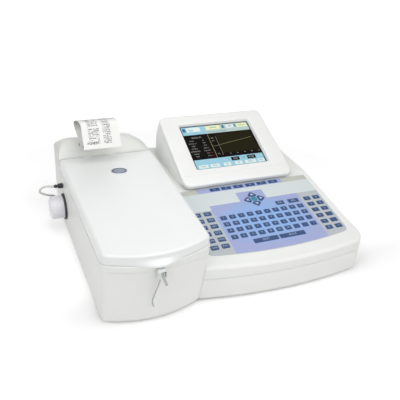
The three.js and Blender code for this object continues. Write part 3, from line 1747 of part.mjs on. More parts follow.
// Mains inlet: flanged socket with three blades standing in its recess
function mainsInlet() {
  const flange = prism(
    rounded(
      rectangle(
        inletX - inletWidth / 2,
        inletX + inletWidth / 2,
        panelMiddleZ - inletHeight / 2,
        panelMiddleZ + inletHeight / 2,
        inletHeight / 8,
      ),
      2,
    ),
    panelY + seatGap,
    panelY + panelThickness,
    "y",
  );
  const body = prism(
    rounded(
      rectangle(
        inletX - inletWidth * 0.44,
        inletX + inletWidth * 0.44,
        panelMiddleZ - inletHeight * 0.43,
        panelMiddleZ + inletHeight * 0.43,
        inletHeight / 10,
      ),
      2,
    ),
    panelY - inletDepth,
    panelY + panelThickness,
    "y",
  );
  const recess = prism(
    rounded(
      [
        [inletX - inletWidth * 0.39, panelMiddleZ - inletHeight * 0.35],
        [inletX + inletWidth * 0.39, panelMiddleZ - inletHeight * 0.35],
        [inletX + inletWidth * 0.39, panelMiddleZ + inletHeight * 0.12],
        [inletX + inletWidth * 0.23, panelMiddleZ + inletHeight * 0.35],
        [inletX - inletWidth * 0.23, panelMiddleZ + inletHeight * 0.35],
        [inletX - inletWidth * 0.39, panelMiddleZ + inletHeight * 0.12],
      ],
      1,
    ),
    panelY + panelThickness - inletRecess,
    panelY + overrun * 2,
    "y",
  );
  const blade = (dx, dz) =>
    block(
      inletX + dx - inletWidth / 30,
      inletX + dx + inletWidth / 30,
      panelY + panelThickness - inletRecess - seatGap,
      panelY,
      panelMiddleZ + dz - inletHeight / 12,
      panelMiddleZ + dz + inletHeight / 12,
    );
  return join(
    cut(join(flange, body), recess),
    blade(0, inletHeight * 0.14),
    blade(-inletWidth * 0.22, -inletHeight * 0.14),
    blade(inletWidth * 0.22, -inletHeight * 0.14),
  );
}

const rockerAxisY = panelY + panelThickness - switchDepth * 0.25;

// Power switch frame round the rocker
function switchFrame() {
  const half = switchWidth / 2;
  const tall = switchHeight / 2;
  const flange = block(switchX - half, switchX + half, panelY + seatGap, panelY + panelThickness, panelMiddleZ - tall, panelMiddleZ + tall);
  const body = block(
    switchX - half * 0.83,
    switchX + half * 0.83,
    panelY - switchDepth,
    panelY + panelThickness,
    panelMiddleZ - tall * 0.88,
    panelMiddleZ + tall * 0.88,
  );
  const hollow = block(
    switchX - half * 0.66,
    switchX + half * 0.66,
    panelY - switchDepth * 0.8,
    panelY + overrun,
    panelMiddleZ - tall * 0.74,
    panelMiddleZ + tall * 0.74,
  );
  const pivot = rod(
    "x",
    [switchX - half * 0.75, rockerAxisY, panelMiddleZ],
    switchWidth / 14,
    switchWidth * 0.75,
    smallSides,
  );
  return join(cut(join(flange, body), hollow), pivot);
}

// Power rocker, pressed in at its lower half
function powerRocker() {
  const half = (switchWidth / 2) * 0.6;
  const tall = (switchHeight / 2) * 0.66;
  const face = switchDepth * 0.4;
  const rocker = prism(
    rounded(
      [
        [-face * 0.5, -tall * 0.5],
        [face * 0.75, -tall],
        [face * 0.55, 0],
        [face * 0.75, tall],
        [-face * 0.5, tall * 0.5],
      ],
      2,
    ),
    -half,
    half,
    "x",
  );
  const bore = rod("x", [-half - overrun, 0, 0], switchWidth / 14 + seatGap, half * 2 + overrun * 2, smallSides);
  const geometry = geometryOf(cut(rocker, bore));
  geometry.rotateX(THREE.MathUtils.degToRad(rockerSwing));
  geometry.translate(switchX, rockerAxisY, panelMiddleZ);
  return solidOf(geometry);
}

// Nine-way data socket: flange, D-shaped shell and its insulator
function serialSocket(x) {
  const flange = prism(
    rounded(
      rectangle(
        x - serialWidth / 2,
        x + serialWidth / 2,
        panelMiddleZ - serialHeight / 2,
        panelMiddleZ + serialHeight / 2,
        serialHeight / 8,
      ),
      1,
    ),
    panelY + seatGap,
    panelY + seatGap + panelThickness / 2,
    "y",
  );
  const shell = (grow) =>
    rounded(
      [
        [x - (serialShellWidth / 2) * 0.88 - grow, panelMiddleZ - serialShellHeight / 2 - grow, serialHeight / 8],
        [x + (serialShellWidth / 2) * 0.88 + grow, panelMiddleZ - serialShellHeight / 2 - grow, serialHeight / 8],
        [x + serialShellWidth / 2 + grow, panelMiddleZ + serialShellHeight / 2 + grow, serialHeight / 8],
        [x - serialShellWidth / 2 - grow, panelMiddleZ + serialShellHeight / 2 + grow, serialHeight / 8],
      ],
      2,
    );
  const wall = panelThickness / 4;
  return join(
    cut(
      join(flange, prism(shell(-seatGap), panelY - serialReach, panelY + serialReach, "y")),
      prism(shell(-seatGap - wall), panelY + seatGap, panelY + serialReach + overrun, "y"),
    ),
    block(
      x - serialShellWidth * 0.36,
      x + serialShellWidth * 0.36,
      panelY,
      panelY + serialReach * 0.8,
      panelMiddleZ - serialShellHeight * 0.26,
      panelMiddleZ + serialShellHeight * 0.26,
    ),
  );
}

const fanY = towerBackY - towerWall - seatGap - fanDepth;

// Fan frame: square frame with a round duct and a spoked hub plate
function fanFrame() {
  const half = fanSide / 2;
  const frame = prism(
    rounded(rectangle(fanX - half, fanX + half, fanZ - half, fanZ + half, half / 8), 2),
    fanY,
    fanY + fanDepth,
    "y",
  );
  const duct = rod("y", [fanX, fanY - overrun, fanZ], fanBore, fanDepth + overrun * 2);
  const hub = rod("y", [fanX, fanY, fanZ], fanHubRadius * 0.9, panelThickness);
  const spokes = [0, 1, 2, 3].map((i) => {
    const geometry = new THREE.BoxGeometry(fanBore + half / 8, panelThickness, panelThickness);
    geometry.translate((fanBore + half / 8) / 2, panelThickness / 2, 0);
    geometry.rotateY((Math.PI / 2) * i + Math.PI / 4);
    geometry.translate(fanX, fanY, fanZ);
    return solidOf(geometry);
  });
  const corners = [-1, 1].flatMap((a) =>
    [-1, 1].map((b) =>
      rod(
        "y",
        [fanX + a * (half - half / 7), fanY - overrun, fanZ + b * (half - half / 7)],
        half / 20,
        fanDepth + overrun * 2,
        8,
      ),
    ),
  );
  return cut(join(cut(frame, duct), hub, ...spokes), ...corners);
}

// Fan rotor: hub and pitched blades
function fanRotor() {
  const start = fanY + panelThickness + runningGap;
  const depth = fanDepth - panelThickness - runningGap * 2;
  const hub = rod("y", [fanX, start, fanZ], fanHubRadius, depth);
  const blades = [];
  for (let i = 0; i < fanBladeCount; i += 1) {
    const geometry = new THREE.BoxGeometry(fanBore - fanHubRadius - runningGap, panelThickness / 2, depth * 1.15);
    geometry.rotateX(Math.PI / 3);
    geometry.translate((fanBore + fanHubRadius) / 2 - runningGap * 2, 0, 0);
    geometry.rotateY((2 * Math.PI * i) / fanBladeCount);
    geometry.translate(fanX, start + depth / 2, fanZ);
    blades.push(solidOf(geometry));
  }
  const duct = rod("y", [fanX, start, fanZ], fanBore - runningGap * 1.5, depth);
  return join(hub, common(join(...blades), duct));
}

// Fan guard outside the rear wall: rings on a cross, with four screw eyes
function fanGuard() {
  const y = towerBackY + seatGap;
  const ring = (radius) =>
    cut(
      rod("y", [fanX, y, fanZ], radius + guardWire / 2, guardWire),
      rod("y", [fanX, y - overrun, fanZ], radius - guardWire / 2, overrun * 3),
    );
  const rings = [0.35, 0.68, 1].map((share) => ring(fanBore * share));
  const arms = [1, 3].map((i) => {
    const geometry = new THREE.BoxGeometry(fanSide * 1.16, guardWire, guardWire * 1.2);
    geometry.translate(0, guardWire / 2, 0);
    geometry.rotateY((Math.PI / 4) * i);
    geometry.translate(fanX, y, fanZ);
    return solidOf(geometry);
  });
  return join(...rings, ...arms);
}

// Main board on its standoffs
function mainBoard() {
  const board = block(boardLeft, boardRight, boardFront, boardBack, boardZ, boardZ + boardThickness);
  const chips = [
    [0.2, 0.25, 0.3, 0.16, 1.6],
    [0.6, 0.2, 0.25, 0.12, 1.4],
    [0.3, 0.6, 0.35, 0.1, 4],
    [0.72, 0.55, 0.16, 0.3, 3],
  ].map(([u, v, width, length, rise]) =>
    block(
      boardLeft + (boardRight - boardLeft) * u,
      boardLeft + (boardRight - boardLeft) * (u + width),
      boardFront + (boardBack - boardFront) * v,
      boardFront + (boardBack - boardFront) * (v + length),
      boardZ + boardThickness / 2,
      boardZ + boardThickness * (1 + rise),
    ),
  );
  const holes = boardScrews.map(([x, y]) =>
    rod("z", [x, y, boardZ - overrun], standoffRadius / 2, overrun * 3, smallSides),
  );
  return cut(join(board, ...chips), ...holes);
}

// Power supply: a vented metal case on standoffs
function powerSupply() {
  const wall = boardThickness;
  const outer = block(supplyLeft, supplyRight, supplyFront, supplyBack, boardZ, boardZ + supplyHeight);
  const inner = block(
    supplyLeft + wall,
    supplyRight - wall,
    supplyFront + wall,
    supplyBack - wall,
    boardZ + wall,
    boardZ + supplyHeight - wall,
  );
  const slots = [];
  for (let i = 0; i < 8; i += 1) {
    const x = supplyLeft + ((supplyRight - supplyLeft) * (i + 1)) / 9;
    slots.push(block(x, x + wall * 1.6, supplyFront - overrun, supplyBack + overrun, boardZ + wall * 4, boardZ + supplyHeight - wall * 4));
  }
  return cut(outer, inner, ...slots);
}

// Rubber foot: a tapered pad with a stem pressed up into the floor
function foot([x, y]) {
  return turned("z", [x, y, -footHeight], [
    [0, 0],
    [footRadius * 0.85, 0],
    [footRadius, footHeight / 3],
    [footRadius, footHeight - seatGap],
    [footStemRadius, footHeight - seatGap],
    [footStemRadius, footHeight + footStemLength],
    [0, footHeight + footStemLength],
  ], smallSides);
}

add("tower_housing", towerHousing(), finishes.housing);
add("inner_deck", innerDeck(), finishes.deck);
add("lid", lid(), finishes.lid);
add("lid_badge", lidBadge(), finishes.badge);
add("lid_hinge_pin_left", hingePin(lugPlaces[0]), finishes.steel);
add("lid_hinge_pin_right", hingePin(lugPlaces[1]), finishes.steel);
add("optics_base", opticsBase(), finishes.metal);
add("filter_wheel", filterWheel(), finishes.dark);
add("filter_motor", filterMotor(), finishes.metal);
add("flow_cell_block", flowCellBlock(), finishes.metal);
add("flow_cell", flowCell(), finishes.glass);
add("detector_housing", detector(), finishes.dark);
add("lens_barrel", lensBarrel(), finishes.dark);
add("lamp_housing", lampHousing(), finishes.metal);
add("halogen_lamp", halogenLamp(), finishes.glass);
add("printer_housing", printerHousing(), finishes.housing);
add("roll_cover", rollCover(), finishes.housing);
add("roll_cradle", rollCradle(), finishes.deck);
add("paper_roll", paperRoll(), finishes.paper);
add("paper_spindle", paperSpindle(), finishes.deck);
add("platen_roller", platenRoller(), finishes.rubber);
add("print_head", printHead(), finishes.metal);
add("paper_strip", paperStrip(), finishes.paper);
add("pump_ring", pumpRing(), finishes.dark);
add("pump_motor", pumpMotor(), finishes.metal);
add("pump_rotor", pumpRotor(), finishes.deck);
rollerPlaces.forEach((place, i) => add(`pump_roller_${i + 1}`, pumpRoller(place), finishes.steel));
add("pump_cover", pumpCover(), finishes.clear);
add("pump_tube", pumpTube(), finishes.tubing);
add("side_fitting", sideFitting(), finishes.dark);
add("sipper_holder", sipperHolder(), finishes.housing);
add("sipper_paddle", sipperPaddle(), finishes.deck);
add("sipper_paddle_pin", paddlePin(), finishes.steel);
add("sipper_tube", sipperTube(), finishes.tubing);
add("console_base", consoleBase(), finishes.housing);
add("console_top", consoleTop(), finishes.housing);
add("keypad_overlay", keypadOverlay(), finishes.keypad);
add("display_bezel", displayBezel(), finishes.bezel);
add("screen_panel", screenPanel(), finishes.screen);
add("display_hood", displayHood(), finishes.housing);
add("rear_panel", rearPanel(), finishes.metal);
add("mains_inlet", mainsInlet(), finishes.dark);
add("power_switch_frame", switchFrame(), finishes.dark);
add("power_rocker", powerRocker(), finishes.dark);
add("serial_socket_left", serialSocket(serialX), finishes.metal);
add("serial_socket_right", serialSocket(serialTwoX), finishes.metal);
add("fan_frame", fanFrame(), finishes.dark);
add("fan_rotor", fanRotor(), finishes.dark);
add("fan_guard", fanGuard(), finishes.steel);
add("main_board", mainBoard(), finishes.board);
add("power_supply", powerSupply(), finishes.metal);
footPlaces.forEach((place, i) => add(`foot_${i + 1}`, foot(place), finishes.rubber));

// The part's own frame: its origin is the middle of its base
const bounds = new THREE.Box3().setFromObject(group);
const middle = bounds.getCenter(new THREE.Vector3());
group.position.set(-middle.x, -middle.y, -bounds.min.z);

export default group;
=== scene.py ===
"""Dressed model of a bench biochemistry analyzer: optics tower, printer, pump, sipper, keypad and display.

Lengths in this file are millimetres of the part's own drawing: x from the tower's left wall, y from the
console's front edge, z from the underside of the housings. place() turns them into the frame's metres.
"""

from __future__ import annotations

import logging
import math
from dataclasses import dataclass
from enum import Enum
from typing import Callable, Iterable, NamedTuple, Sequence

import bmesh
import bpy
import numpy as np
from mathutils import Matrix, Vector
from mathutils.geometry import delaunay_2d_cdt


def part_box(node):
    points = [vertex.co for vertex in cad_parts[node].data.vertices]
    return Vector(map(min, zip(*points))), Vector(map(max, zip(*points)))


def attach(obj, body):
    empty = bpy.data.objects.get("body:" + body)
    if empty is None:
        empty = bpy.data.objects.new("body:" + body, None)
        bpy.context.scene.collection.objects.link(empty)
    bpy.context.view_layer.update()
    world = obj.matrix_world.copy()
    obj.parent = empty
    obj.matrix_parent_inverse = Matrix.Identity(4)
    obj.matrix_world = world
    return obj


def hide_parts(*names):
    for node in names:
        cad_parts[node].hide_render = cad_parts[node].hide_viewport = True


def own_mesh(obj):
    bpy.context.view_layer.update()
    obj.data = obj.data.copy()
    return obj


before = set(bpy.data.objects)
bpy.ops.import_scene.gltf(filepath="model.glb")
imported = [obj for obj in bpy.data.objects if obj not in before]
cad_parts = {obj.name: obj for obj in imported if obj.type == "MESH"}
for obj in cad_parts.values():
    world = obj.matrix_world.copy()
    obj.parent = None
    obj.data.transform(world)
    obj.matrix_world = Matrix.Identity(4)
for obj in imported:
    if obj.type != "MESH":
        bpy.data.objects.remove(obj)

LOG = logging.getLogger("analyzer")
MM = 0.001
CONSOLE_RIGHT = 367.5
CONSOLE_BACK = 309.0
_LOW, _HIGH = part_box("console_base")
ORIGIN = np.array([_HIGH.x / MM - CONSOLE_RIGHT, _HIGH.y / MM - CONSOLE_BACK, _LOW.z / MM])
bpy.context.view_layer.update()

# The console's sloped top, its height at the front edge, and the height of the level deck behind
SLOPE = math.radians(11.72)
SLOPE_FOOT = 44.5
DECK_TOP = 78.5
# Gap between stacked mouldings, radius of the rounded foot of both housings, and from where to where a cut
# goes through their floors and the left wall
SEAM = 0.4
FOOT_ROUND = 2.5
THROUGH = (-5.0, 8.0)
# Centre of the pump and of the wall fitting on the left wall, y and z
PUMP_AT = (230.0, 36.0)
FITTING_AT = (238.0, 66.0)
# The least radius that keeps a corner's points apart, the least that an inset leaves, and the spacing of
# points in a curved top
TINY = 0.02
LEAST = 0.3
NET_CELL = 5.0
# Radius near a lathe's axis, where its end faces close
AXIS = 0.05
# Length of strip over which the print's texture runs once
PRINT_LENGTH = 100.0

Array = np.ndarray
Outline = Callable[[float], Array]
Height = Callable[[Array], Array]
Point = Sequence[float]
Colour = tuple[float, float, float, float]


def place(points: Array) -> Array:
    """Millimetres of the drawing as metres of the frame."""
    return (np.asarray(points, float) + ORIGIN) * MM


# Surfaces


@dataclass
class Surface:
    """Points in millimetres, the faces between them, and texture coordinates where it has any."""

    points: Array
    faces: list[tuple[int, ...]]
    uv: Array | None = None

    def turned_x(self, angle: float, at: Point) -> "Surface":
        """The surface turned about X through its own origin, then moved to a place."""
        c, s = math.cos(angle), math.sin(angle)
        turn = np.array([[1, 0, 0], [0, c, s], [0, -s, c]])
        return Surface(self.points @ turn + np.asarray(at, float), self.faces, self.uv)

    def moved(self, by: Point) -> "Surface":
        """The surface moved along a vector."""
        return Surface(self.points + np.asarray(by, float), self.faces, self.uv)


def merged(surfaces: Iterable[Surface]) -> Surface:
    """Several surfaces as one, side by side."""
    points: list[Array] = []
    faces: list[tuple[int, ...]] = []
    start = 0
    for surface in surfaces:
        points.append(surface.points)
        faces.extend(tuple(i + start for i in face) for face in surface.faces)
        start += len(surface.points)
    return Surface(np.concatenate(points), faces)


def skin(rings: Array, caps: bool = True, closed: bool = False) -> Surface:
    """Quads over rings of equal point counts, rows by columns by 3.

    Args:
        rings: each row one ring, counter-clockwise seen from the last row's side.
        caps: close the first and the last ring with a face.
        closed: join the last ring to the first, as on a frame.
    """
    rows, columns = rings.shape[:2]
    r = np.arange(rows if closed else rows - 1)[:, None]
    c = np.arange(columns)[None, :]
    after = (c + 1) % columns
    below, above = r * columns, ((r + 1) % rows) * columns
    quads = np.stack([below + c, below + after, above + after, above + c], -1).reshape(-1, 4)
    faces = [tuple(q) for q in quads.tolist()]
    if caps and not closed:
        faces.append(tuple(range(columns - 1, -1, -1)))
        faces.append(tuple(range((rows - 1) * columns, rows * columns)))
    return Surface(rings.reshape(-1, 3), faces)


def patch(grid: Array, uv: Array) -> Surface:
    """An open sheet of quads over a grid of points, rows by columns by 3."""
    rows, columns = grid.shape[:2]
    r, c = np.meshgrid(np.arange(rows - 1), np.arange(columns - 1), indexing="ij")
    a = r * columns + c
    quads = np.stack([a, a + 1, a + columns + 1, a + columns], -1).reshape(-1, 4)
    return Surface(grid.reshape(-1, 3), [tuple(q) for q in quads.tolist()], uv)


def level(outline: Array, z: float | Array) -> Array:
    """A plan outline at a height."""
    return np.column_stack([outline, np.broadcast_to(z, len(outline))])


def arc(middle: Point, radius: float, start: float, end: float, steps: int) -> Array:
    """Points on a circle: middle plus radius times (cos, sin) of evenly spaced angles in degrees."""
    angle = np.radians(np.linspace(start, end, steps + 1))
    return np.column_stack([middle[0] + radius * np.cos(angle), middle[1] + radius * np.sin(angle)])


def round_rectangle(x0: float, x1: float, y0: float, y1: float, radius: float, steps: int) -> Array:
    """A rectangle's outline with quarter-circle corners, counter-clockwise."""
    r = max(radius, TINY)
    corners = ((x1 - r, y0 + r), (x1 - r, y1 - r), (x0 + r, y1 - r), (x0 + r, y0 + r))
    return np.concatenate([arc(at, r, 90 * i - 90, 90 * i, steps) for i, at in enumerate(corners)])


def bowed_outline(
    left: tuple[float, float], right: tuple[float, float], front: float, back: float, bulge: float,
    radii: tuple[float, float, float, float], skew: float = 0.0, reach: float = 0.0, steps: int = 56,
) -> Array:
    """A plan outline whose front is a parabola and whose side walls may lean.

    The front is front + skew * s - bulge * (1 - (2s - 1)^2) for s from 0 to 1 across it. Each front corner
    is a circle that touches its side wall and the parabola, found by repeating the touching condition.

    Args:
        left: the left wall's x at the front and at the back.
        right: the right wall's x at the front and at the back.
        front: y where the side walls would meet the parabola.
        back: y of the straight back.
        bulge: how far the middle of the front stands ahead of its ends.
        radii: corner radii: front left, front right, back right, back left.
        skew: how much further back the front's right end stands than its left end.
        reach: how far the parabola is carried on past the left wall, which then starts there.
        steps: points along the parabola.

    Returns:
        Points, counter-clockwise from the left wall's front end.
    """
    width = right[0] - left[0]
    starts = (left[0] - reach, right[0])
    leans = [math.atan((end - start) / (back - front)) for start, end in zip(starts, (left[1], right[1]))]
    share = lambda x: 2 * (x - left[0]) / width - 1
    bow = lambda x: front + skew * (share(x) + 1) / 2 - bulge * (1 - share(x) ** 2)
    fronts, backs, ends = [], [], []
    for i, side in enumerate((1, -1)):
        lean = leans[i]
        wall = lambda y: starts[i] + (y - front) * math.tan(lean)
        radius = max(radii[i], TINY)
        x = starts[i] + side * radius / 2
        for _ in range(12):
            turn = math.atan((4 * bulge * share(x) + skew) / width)
            y = bow(x) + radius * math.cos(turn)
            centre = wall(y) + side * radius / math.cos(lean)
            x = centre + radius * math.sin(turn)
        ends.append(x)
        angles = (180 + 180 * i - math.degrees(lean), 270 + math.degrees(turn))
        fronts.append(arc((centre, y), radius, *angles[::side], 14))
        radius = max(radii[3 - i], TINY)
        angles = (90, 180 - 180 * i - math.degrees(lean))
        middle = (wall(back - radius) + side * radius / math.cos(lean), back - radius)
        backs.append(arc(middle, radius, *angles[::side], 10))
    across = np.linspace(*ends, steps + 1)[1:-1]
    middle = np.column_stack([across, bow(across)])
    return np.concatenate([fronts[0], middle, fronts[1], backs[1], backs[0]])


def quarter(radius: float, steps: int = 7) -> list[tuple[float, float]]:
    """Inset and rise along a quarter round: radius * (1 - cos) and radius * sin of the angle."""
    angle = np.linspace(0, math.pi / 2, steps + 1)
    return [(radius * (1 - math.cos(a)), radius * math.sin(a)) for a in angle]


def foot_rings(outline: Outline) -> list[Array]:
    """The rings of a housing's rounded foot, lowest first."""
    return [level(outline(i), FOOT_ROUND - r) for i, r in reversed(quarter(FOOT_ROUND, 4))]


def prism(outline: Array, low: float, high: float, axis: str = "z") -> Surface:
    """An outline carried straight along z, or along x, where the outline is (y, z)."""
    rings = np.stack([level(outline, low), level(outline, high)])
    order = {"z": [0, 1, 2], "x": [2, 0, 1]}[axis]
    return skin(rings[:, :, order])


def block(x0: float, x1: float, y0: float, y1: float, z0: float, z1: float) -> Surface:
    """A plain box between two corners."""
    return prism(np.array([[x0, y0], [x1, y0], [x1, y1], [x0, y1]]), z0, z1)


def lathe(profile: Array, at: Point, axis: str, sides: int, close: bool = True) -> Surface:
    """A profile of (radius, height) turned once round an axis: radius * (cos, sin) at each height."""
    profile = np.asarray(profile, float)
    angle = np.linspace(0, 2 * math.pi, sides, endpoint=False)
    rings = np.stack([
        profile[:, :1] * np.cos(angle), profile[:, :1] * np.sin(angle), np.repeat(profile[:, 1:2], sides, 1),
    ], -1)
    order = {"z": [0, 1, 2], "x": [2, 0, 1], "y": [1, 2, 0]}[axis]
    return skin(rings[:, :, order], caps=close, closed=not close).moved(at)


def rod(radius: float, start: float, end: float, at: Point, axis: str = "x", sides: int = 32) -> Surface:
    """A round bar from start to end along an axis through a point."""
    return lathe([(radius, start), (radius, end)], at, axis, sides)


def smooth_path(points: Sequence[Point], per_span: int) -> Array:
    """A Catmull-Rom curve: cubic spans whose slope at a point is half its neighbours' chord."""
    p = np.asarray(points, float)
    p = np.concatenate([[2 * p[0] - p[1]], p, [2 * p[-1] - p[-2]]])
    t = np.linspace(0, 1, per_span, endpoint=False)[None, :, None]
    a, b, c, d = (p[i:len(p) - 3 + i, None, :] for i in range(4))
    bend, twist = 2 * a - 5 * b + 4 * c - d, 3 * b - a - 3 * c + d
    spans = 0.5 * (2 * b + (c - a) * t + bend * t**2 + twist * t**3)
    return np.concatenate([spans.reshape(-1, 3), p[-2:-1]])


def hose(path: Array, radius: float, sides: int = 20) -> Surface:
    """A round section carried along a path, its frames turned with the path so that it never twists."""
    tangent = np.gradient(path, axis=0)
    tangent /= np.linalg.norm(tangent, axis=1, keepdims=True)
    side = np.cross(tangent[0], [0.31, 0.17, 0.93])
    across = np.empty_like(tangent)
    for i, direction in enumerate(tangent):
        side = side - direction * side.dot(direction)
        side = across[i] = side / np.linalg.norm(side)
    up = np.cross(tangent, across)
    angle = np.linspace(0, 2 * math.pi, sides, endpoint=False)[None, :, None]
    return skin(path[:, None] + radius * (across[:, None] * np.cos(angle) + up[:, None] * np.sin(angle)))


def inside(points: Array, outline: Array) -> Array:
    """Which points lie inside an outline: an odd number of its sides is crossed on the way out."""
    x, y = points[:, :1], points[:, 1:2]
    ax, ay = outline[:, 0], outline[:, 1]
    bx, by = np.roll(ax, -1), np.roll(ay, -1)
    with np.errstate(divide="ignore", invalid="ignore"):
        crossed = ((ay > y) != (by > y)) & (x < (bx - ax) * (y - ay) / (by - ay) + ax)
    return crossed.sum(1) % 2 == 1


def capped(
    outline: Outline, height: Height, bottom: float, edge: float, inset: float = 0.0,
) -> tuple[Array, Surface]:
    """A wall, a rounded edge and a top that follows a height over its plan.

    The edge is a quarter round: the outline drawn in by edge * (1 - cos) at height - edge + edge * sin. The
    top is the height over a net of points inside the last outline.

    Args:
        outline: gives the plan outline for an inset.
        height: height over plan points.
        bottom: where the wall ends.
        edge: radius of the rounded edge.
        inset: how far the whole form is drawn in and its top lowered.

    Returns:
        The rings of wall and edge, lowest first, and the top.
    """
    base = outline(inset)
    eaves = height(base) - inset - edge
    rings = [level(base, bottom + (eaves - bottom) * share) for share in (0, 0.5, 1)]
    for drawn, rise in quarter(edge)[1:]:
        plan = outline(inset + drawn)
        rings.append(level(plan, height(plan) - inset - edge + rise))
    last = outline(inset + edge)
    spans = [np.arange(low + NET_CELL / 2, high, NET_CELL) for low, high in zip(last.min(0), last.max(0))]
    net = np.stack(np.meshgrid(*spans), -1).reshape(-1, 2)
    net = net[inside(net, outline(inset + edge + NET_CELL * 0.45))]
    points = [Vector(p) for p in np.concatenate([last, net]).tolist()]
    edges = [(i, (i + 1) % len(last)) for i in range(len(last))]
    verts, _, faces, *_ = delaunay_2d_cdt(points, edges, [], 1, 1e-5)
    plan = np.array([tuple(v) for v in verts])
    return np.stack(rings), Surface(level(plan, height(plan) - inset), [tuple(f) for f in faces])


def hollow_cap(outline: Outline, height: Height, bottom: float, edge: float, wall: float) -> Surface:
    """A cap open below: an outer form and the same form drawn in by the wall, joined round the bottom."""
    outer, top = capped(outline, height, bottom, edge)
    inner, ceiling = capped(outline, height, bottom, max(edge - wall, LEAST), wall)
    walls = skin(np.concatenate([inner[::-1], outer]), caps=False)
    return merged([walls, top, Surface(ceiling.points, [face[::-1] for face in ceiling.faces])])


def smooth_step(share: Array) -> Array:
    """The smooth step: three times the square less twice the cube, the share held between nothing and one."""
    share = np.clip(share, 0, 1)
    return share**2 * (3 - 2 * share)


def smooth_least(a: Array, b: Array | float, width: float) -> Array:
    """The lesser of two heights, rounded where they cross: least - width * (1 - |a - b| / width)^2 / 4."""
    near = np.clip(1 - np.abs(a - b) / width, 0, 1)
    return np.minimum(a, b) - width * near**2 / 4


# Objects


def as_object(name: str, surface: Surface, merge: bool = True) -> bpy.types.Object:
    """Makes a mesh object from a surface, its doubles merged and its faces turned outward."""
    mesh = bpy.data.meshes.new(name)
    mesh.from_pydata(place(surface.points).tolist(), [], surface.faces)
    if surface.uv is not None:
        layer = mesh.uv_layers.new(name="UVMap")
        corners = np.zeros(len(mesh.loops), np.int32)
        mesh.loops.foreach_get("vertex_index", corners)
        layer.data.foreach_set("uv", surface.uv[corners].astype(np.float32).ravel())
    tidy = bmesh.new()
    tidy.from_mesh(mesh)
    if merge:
        bmesh.ops.remove_doubles(tidy, verts=tidy.verts, dist=0.002 * MM)
        bmesh.ops.dissolve_degenerate(tidy, edges=tidy.edges, dist=1e-7)
    bmesh.ops.recalc_face_normals(tidy, faces=tidy.faces)
    tidy.to_mesh(mesh)
    tidy.free()
    return linked(name, mesh)


def linked(name: str, data: bpy.types.ID) -> bpy.types.Object:
    """An object in the scene that holds some data."""
    obj = bpy.data.objects.new(name, data)
    bpy.context.scene.collection.objects.link(obj)
    return obj


def settle(obj: bpy.types.Object) -> None:
    """Turns an object's modifiers into its mesh."""
    bpy.context.view_layer.update()
    seen = obj.evaluated_get(bpy.context.evaluated_depsgraph_get())
    mesh = bpy.data.meshes.new_from_object(seen)
    obj.modifiers.clear()
    obj.data = mesh


class Cut(Enum):
    """Ways to combine two closed forms."""

    TAKE = "DIFFERENCE"
    JOIN = "UNION"
    KEEP = "INTERSECT"


def combine(obj: bpy.types.Object, how: Cut, *tools: Surface | bpy.types.Object) -> bpy.types.Object:
    """Cuts, joins or intersects an object with closed forms, one after the other, and uses them up."""
    helpers = []
    for index, tool in enumerate(tools):
        helper = as_object(f"tool_{index}", tool) if isinstance(tool, Surface) else tool
        modifier = obj.modifiers.new(f"form_{index}", "BOOLEAN")
        modifier.operation = how.value
        modifier.solver = "MANIFOLD"
        modifier.object = helper
        helpers.append(helper)
    settle(obj)
    for helper in helpers:
        bpy.data.objects.remove(helper)
    return obj


def deliver(
    obj: bpy.types.Object, body: str, finish: "Finish", replaces: Sequence[str] = (),
    angle: float = 35.0,
) -> bpy.types.Object:
    """Gives a piece its shading, finish and body, and hides the solids that it stands for.

    Args:
        obj: the piece.
        body: the body that it rides on.
        finish: its finish.
        replaces: names of the solids that it stands for.
        angle: edges sharper than this many degrees stay sharp.
    """
    obj.data.shade_smooth()
    obj.data.set_sharp_from_angle(angle=math.radians(angle))
    obj.data.materials.clear()
    obj.data.materials.append(finish.material())
    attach(obj, body)
    if replaces:
        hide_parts(*replaces)
    LOG.info("%s: %d faces on %s", obj.name, len(obj.data.polygons), body)
    return obj


# Finishes


def linear(code: str, share: float = 1.0) -> Colour:
    """An sRGB hex colour as linear light, dimmed to a share."""
    values = [int(code[i:i + 2], 16) / 255 for i in (1, 3, 5)]
    red, green, blue = (v / 12.92 if v <= 0.04045 else ((v + 0.055) / 1.055) ** 2.4 for v in values)
    return (red * share, green * share, blue * share, 1.0)


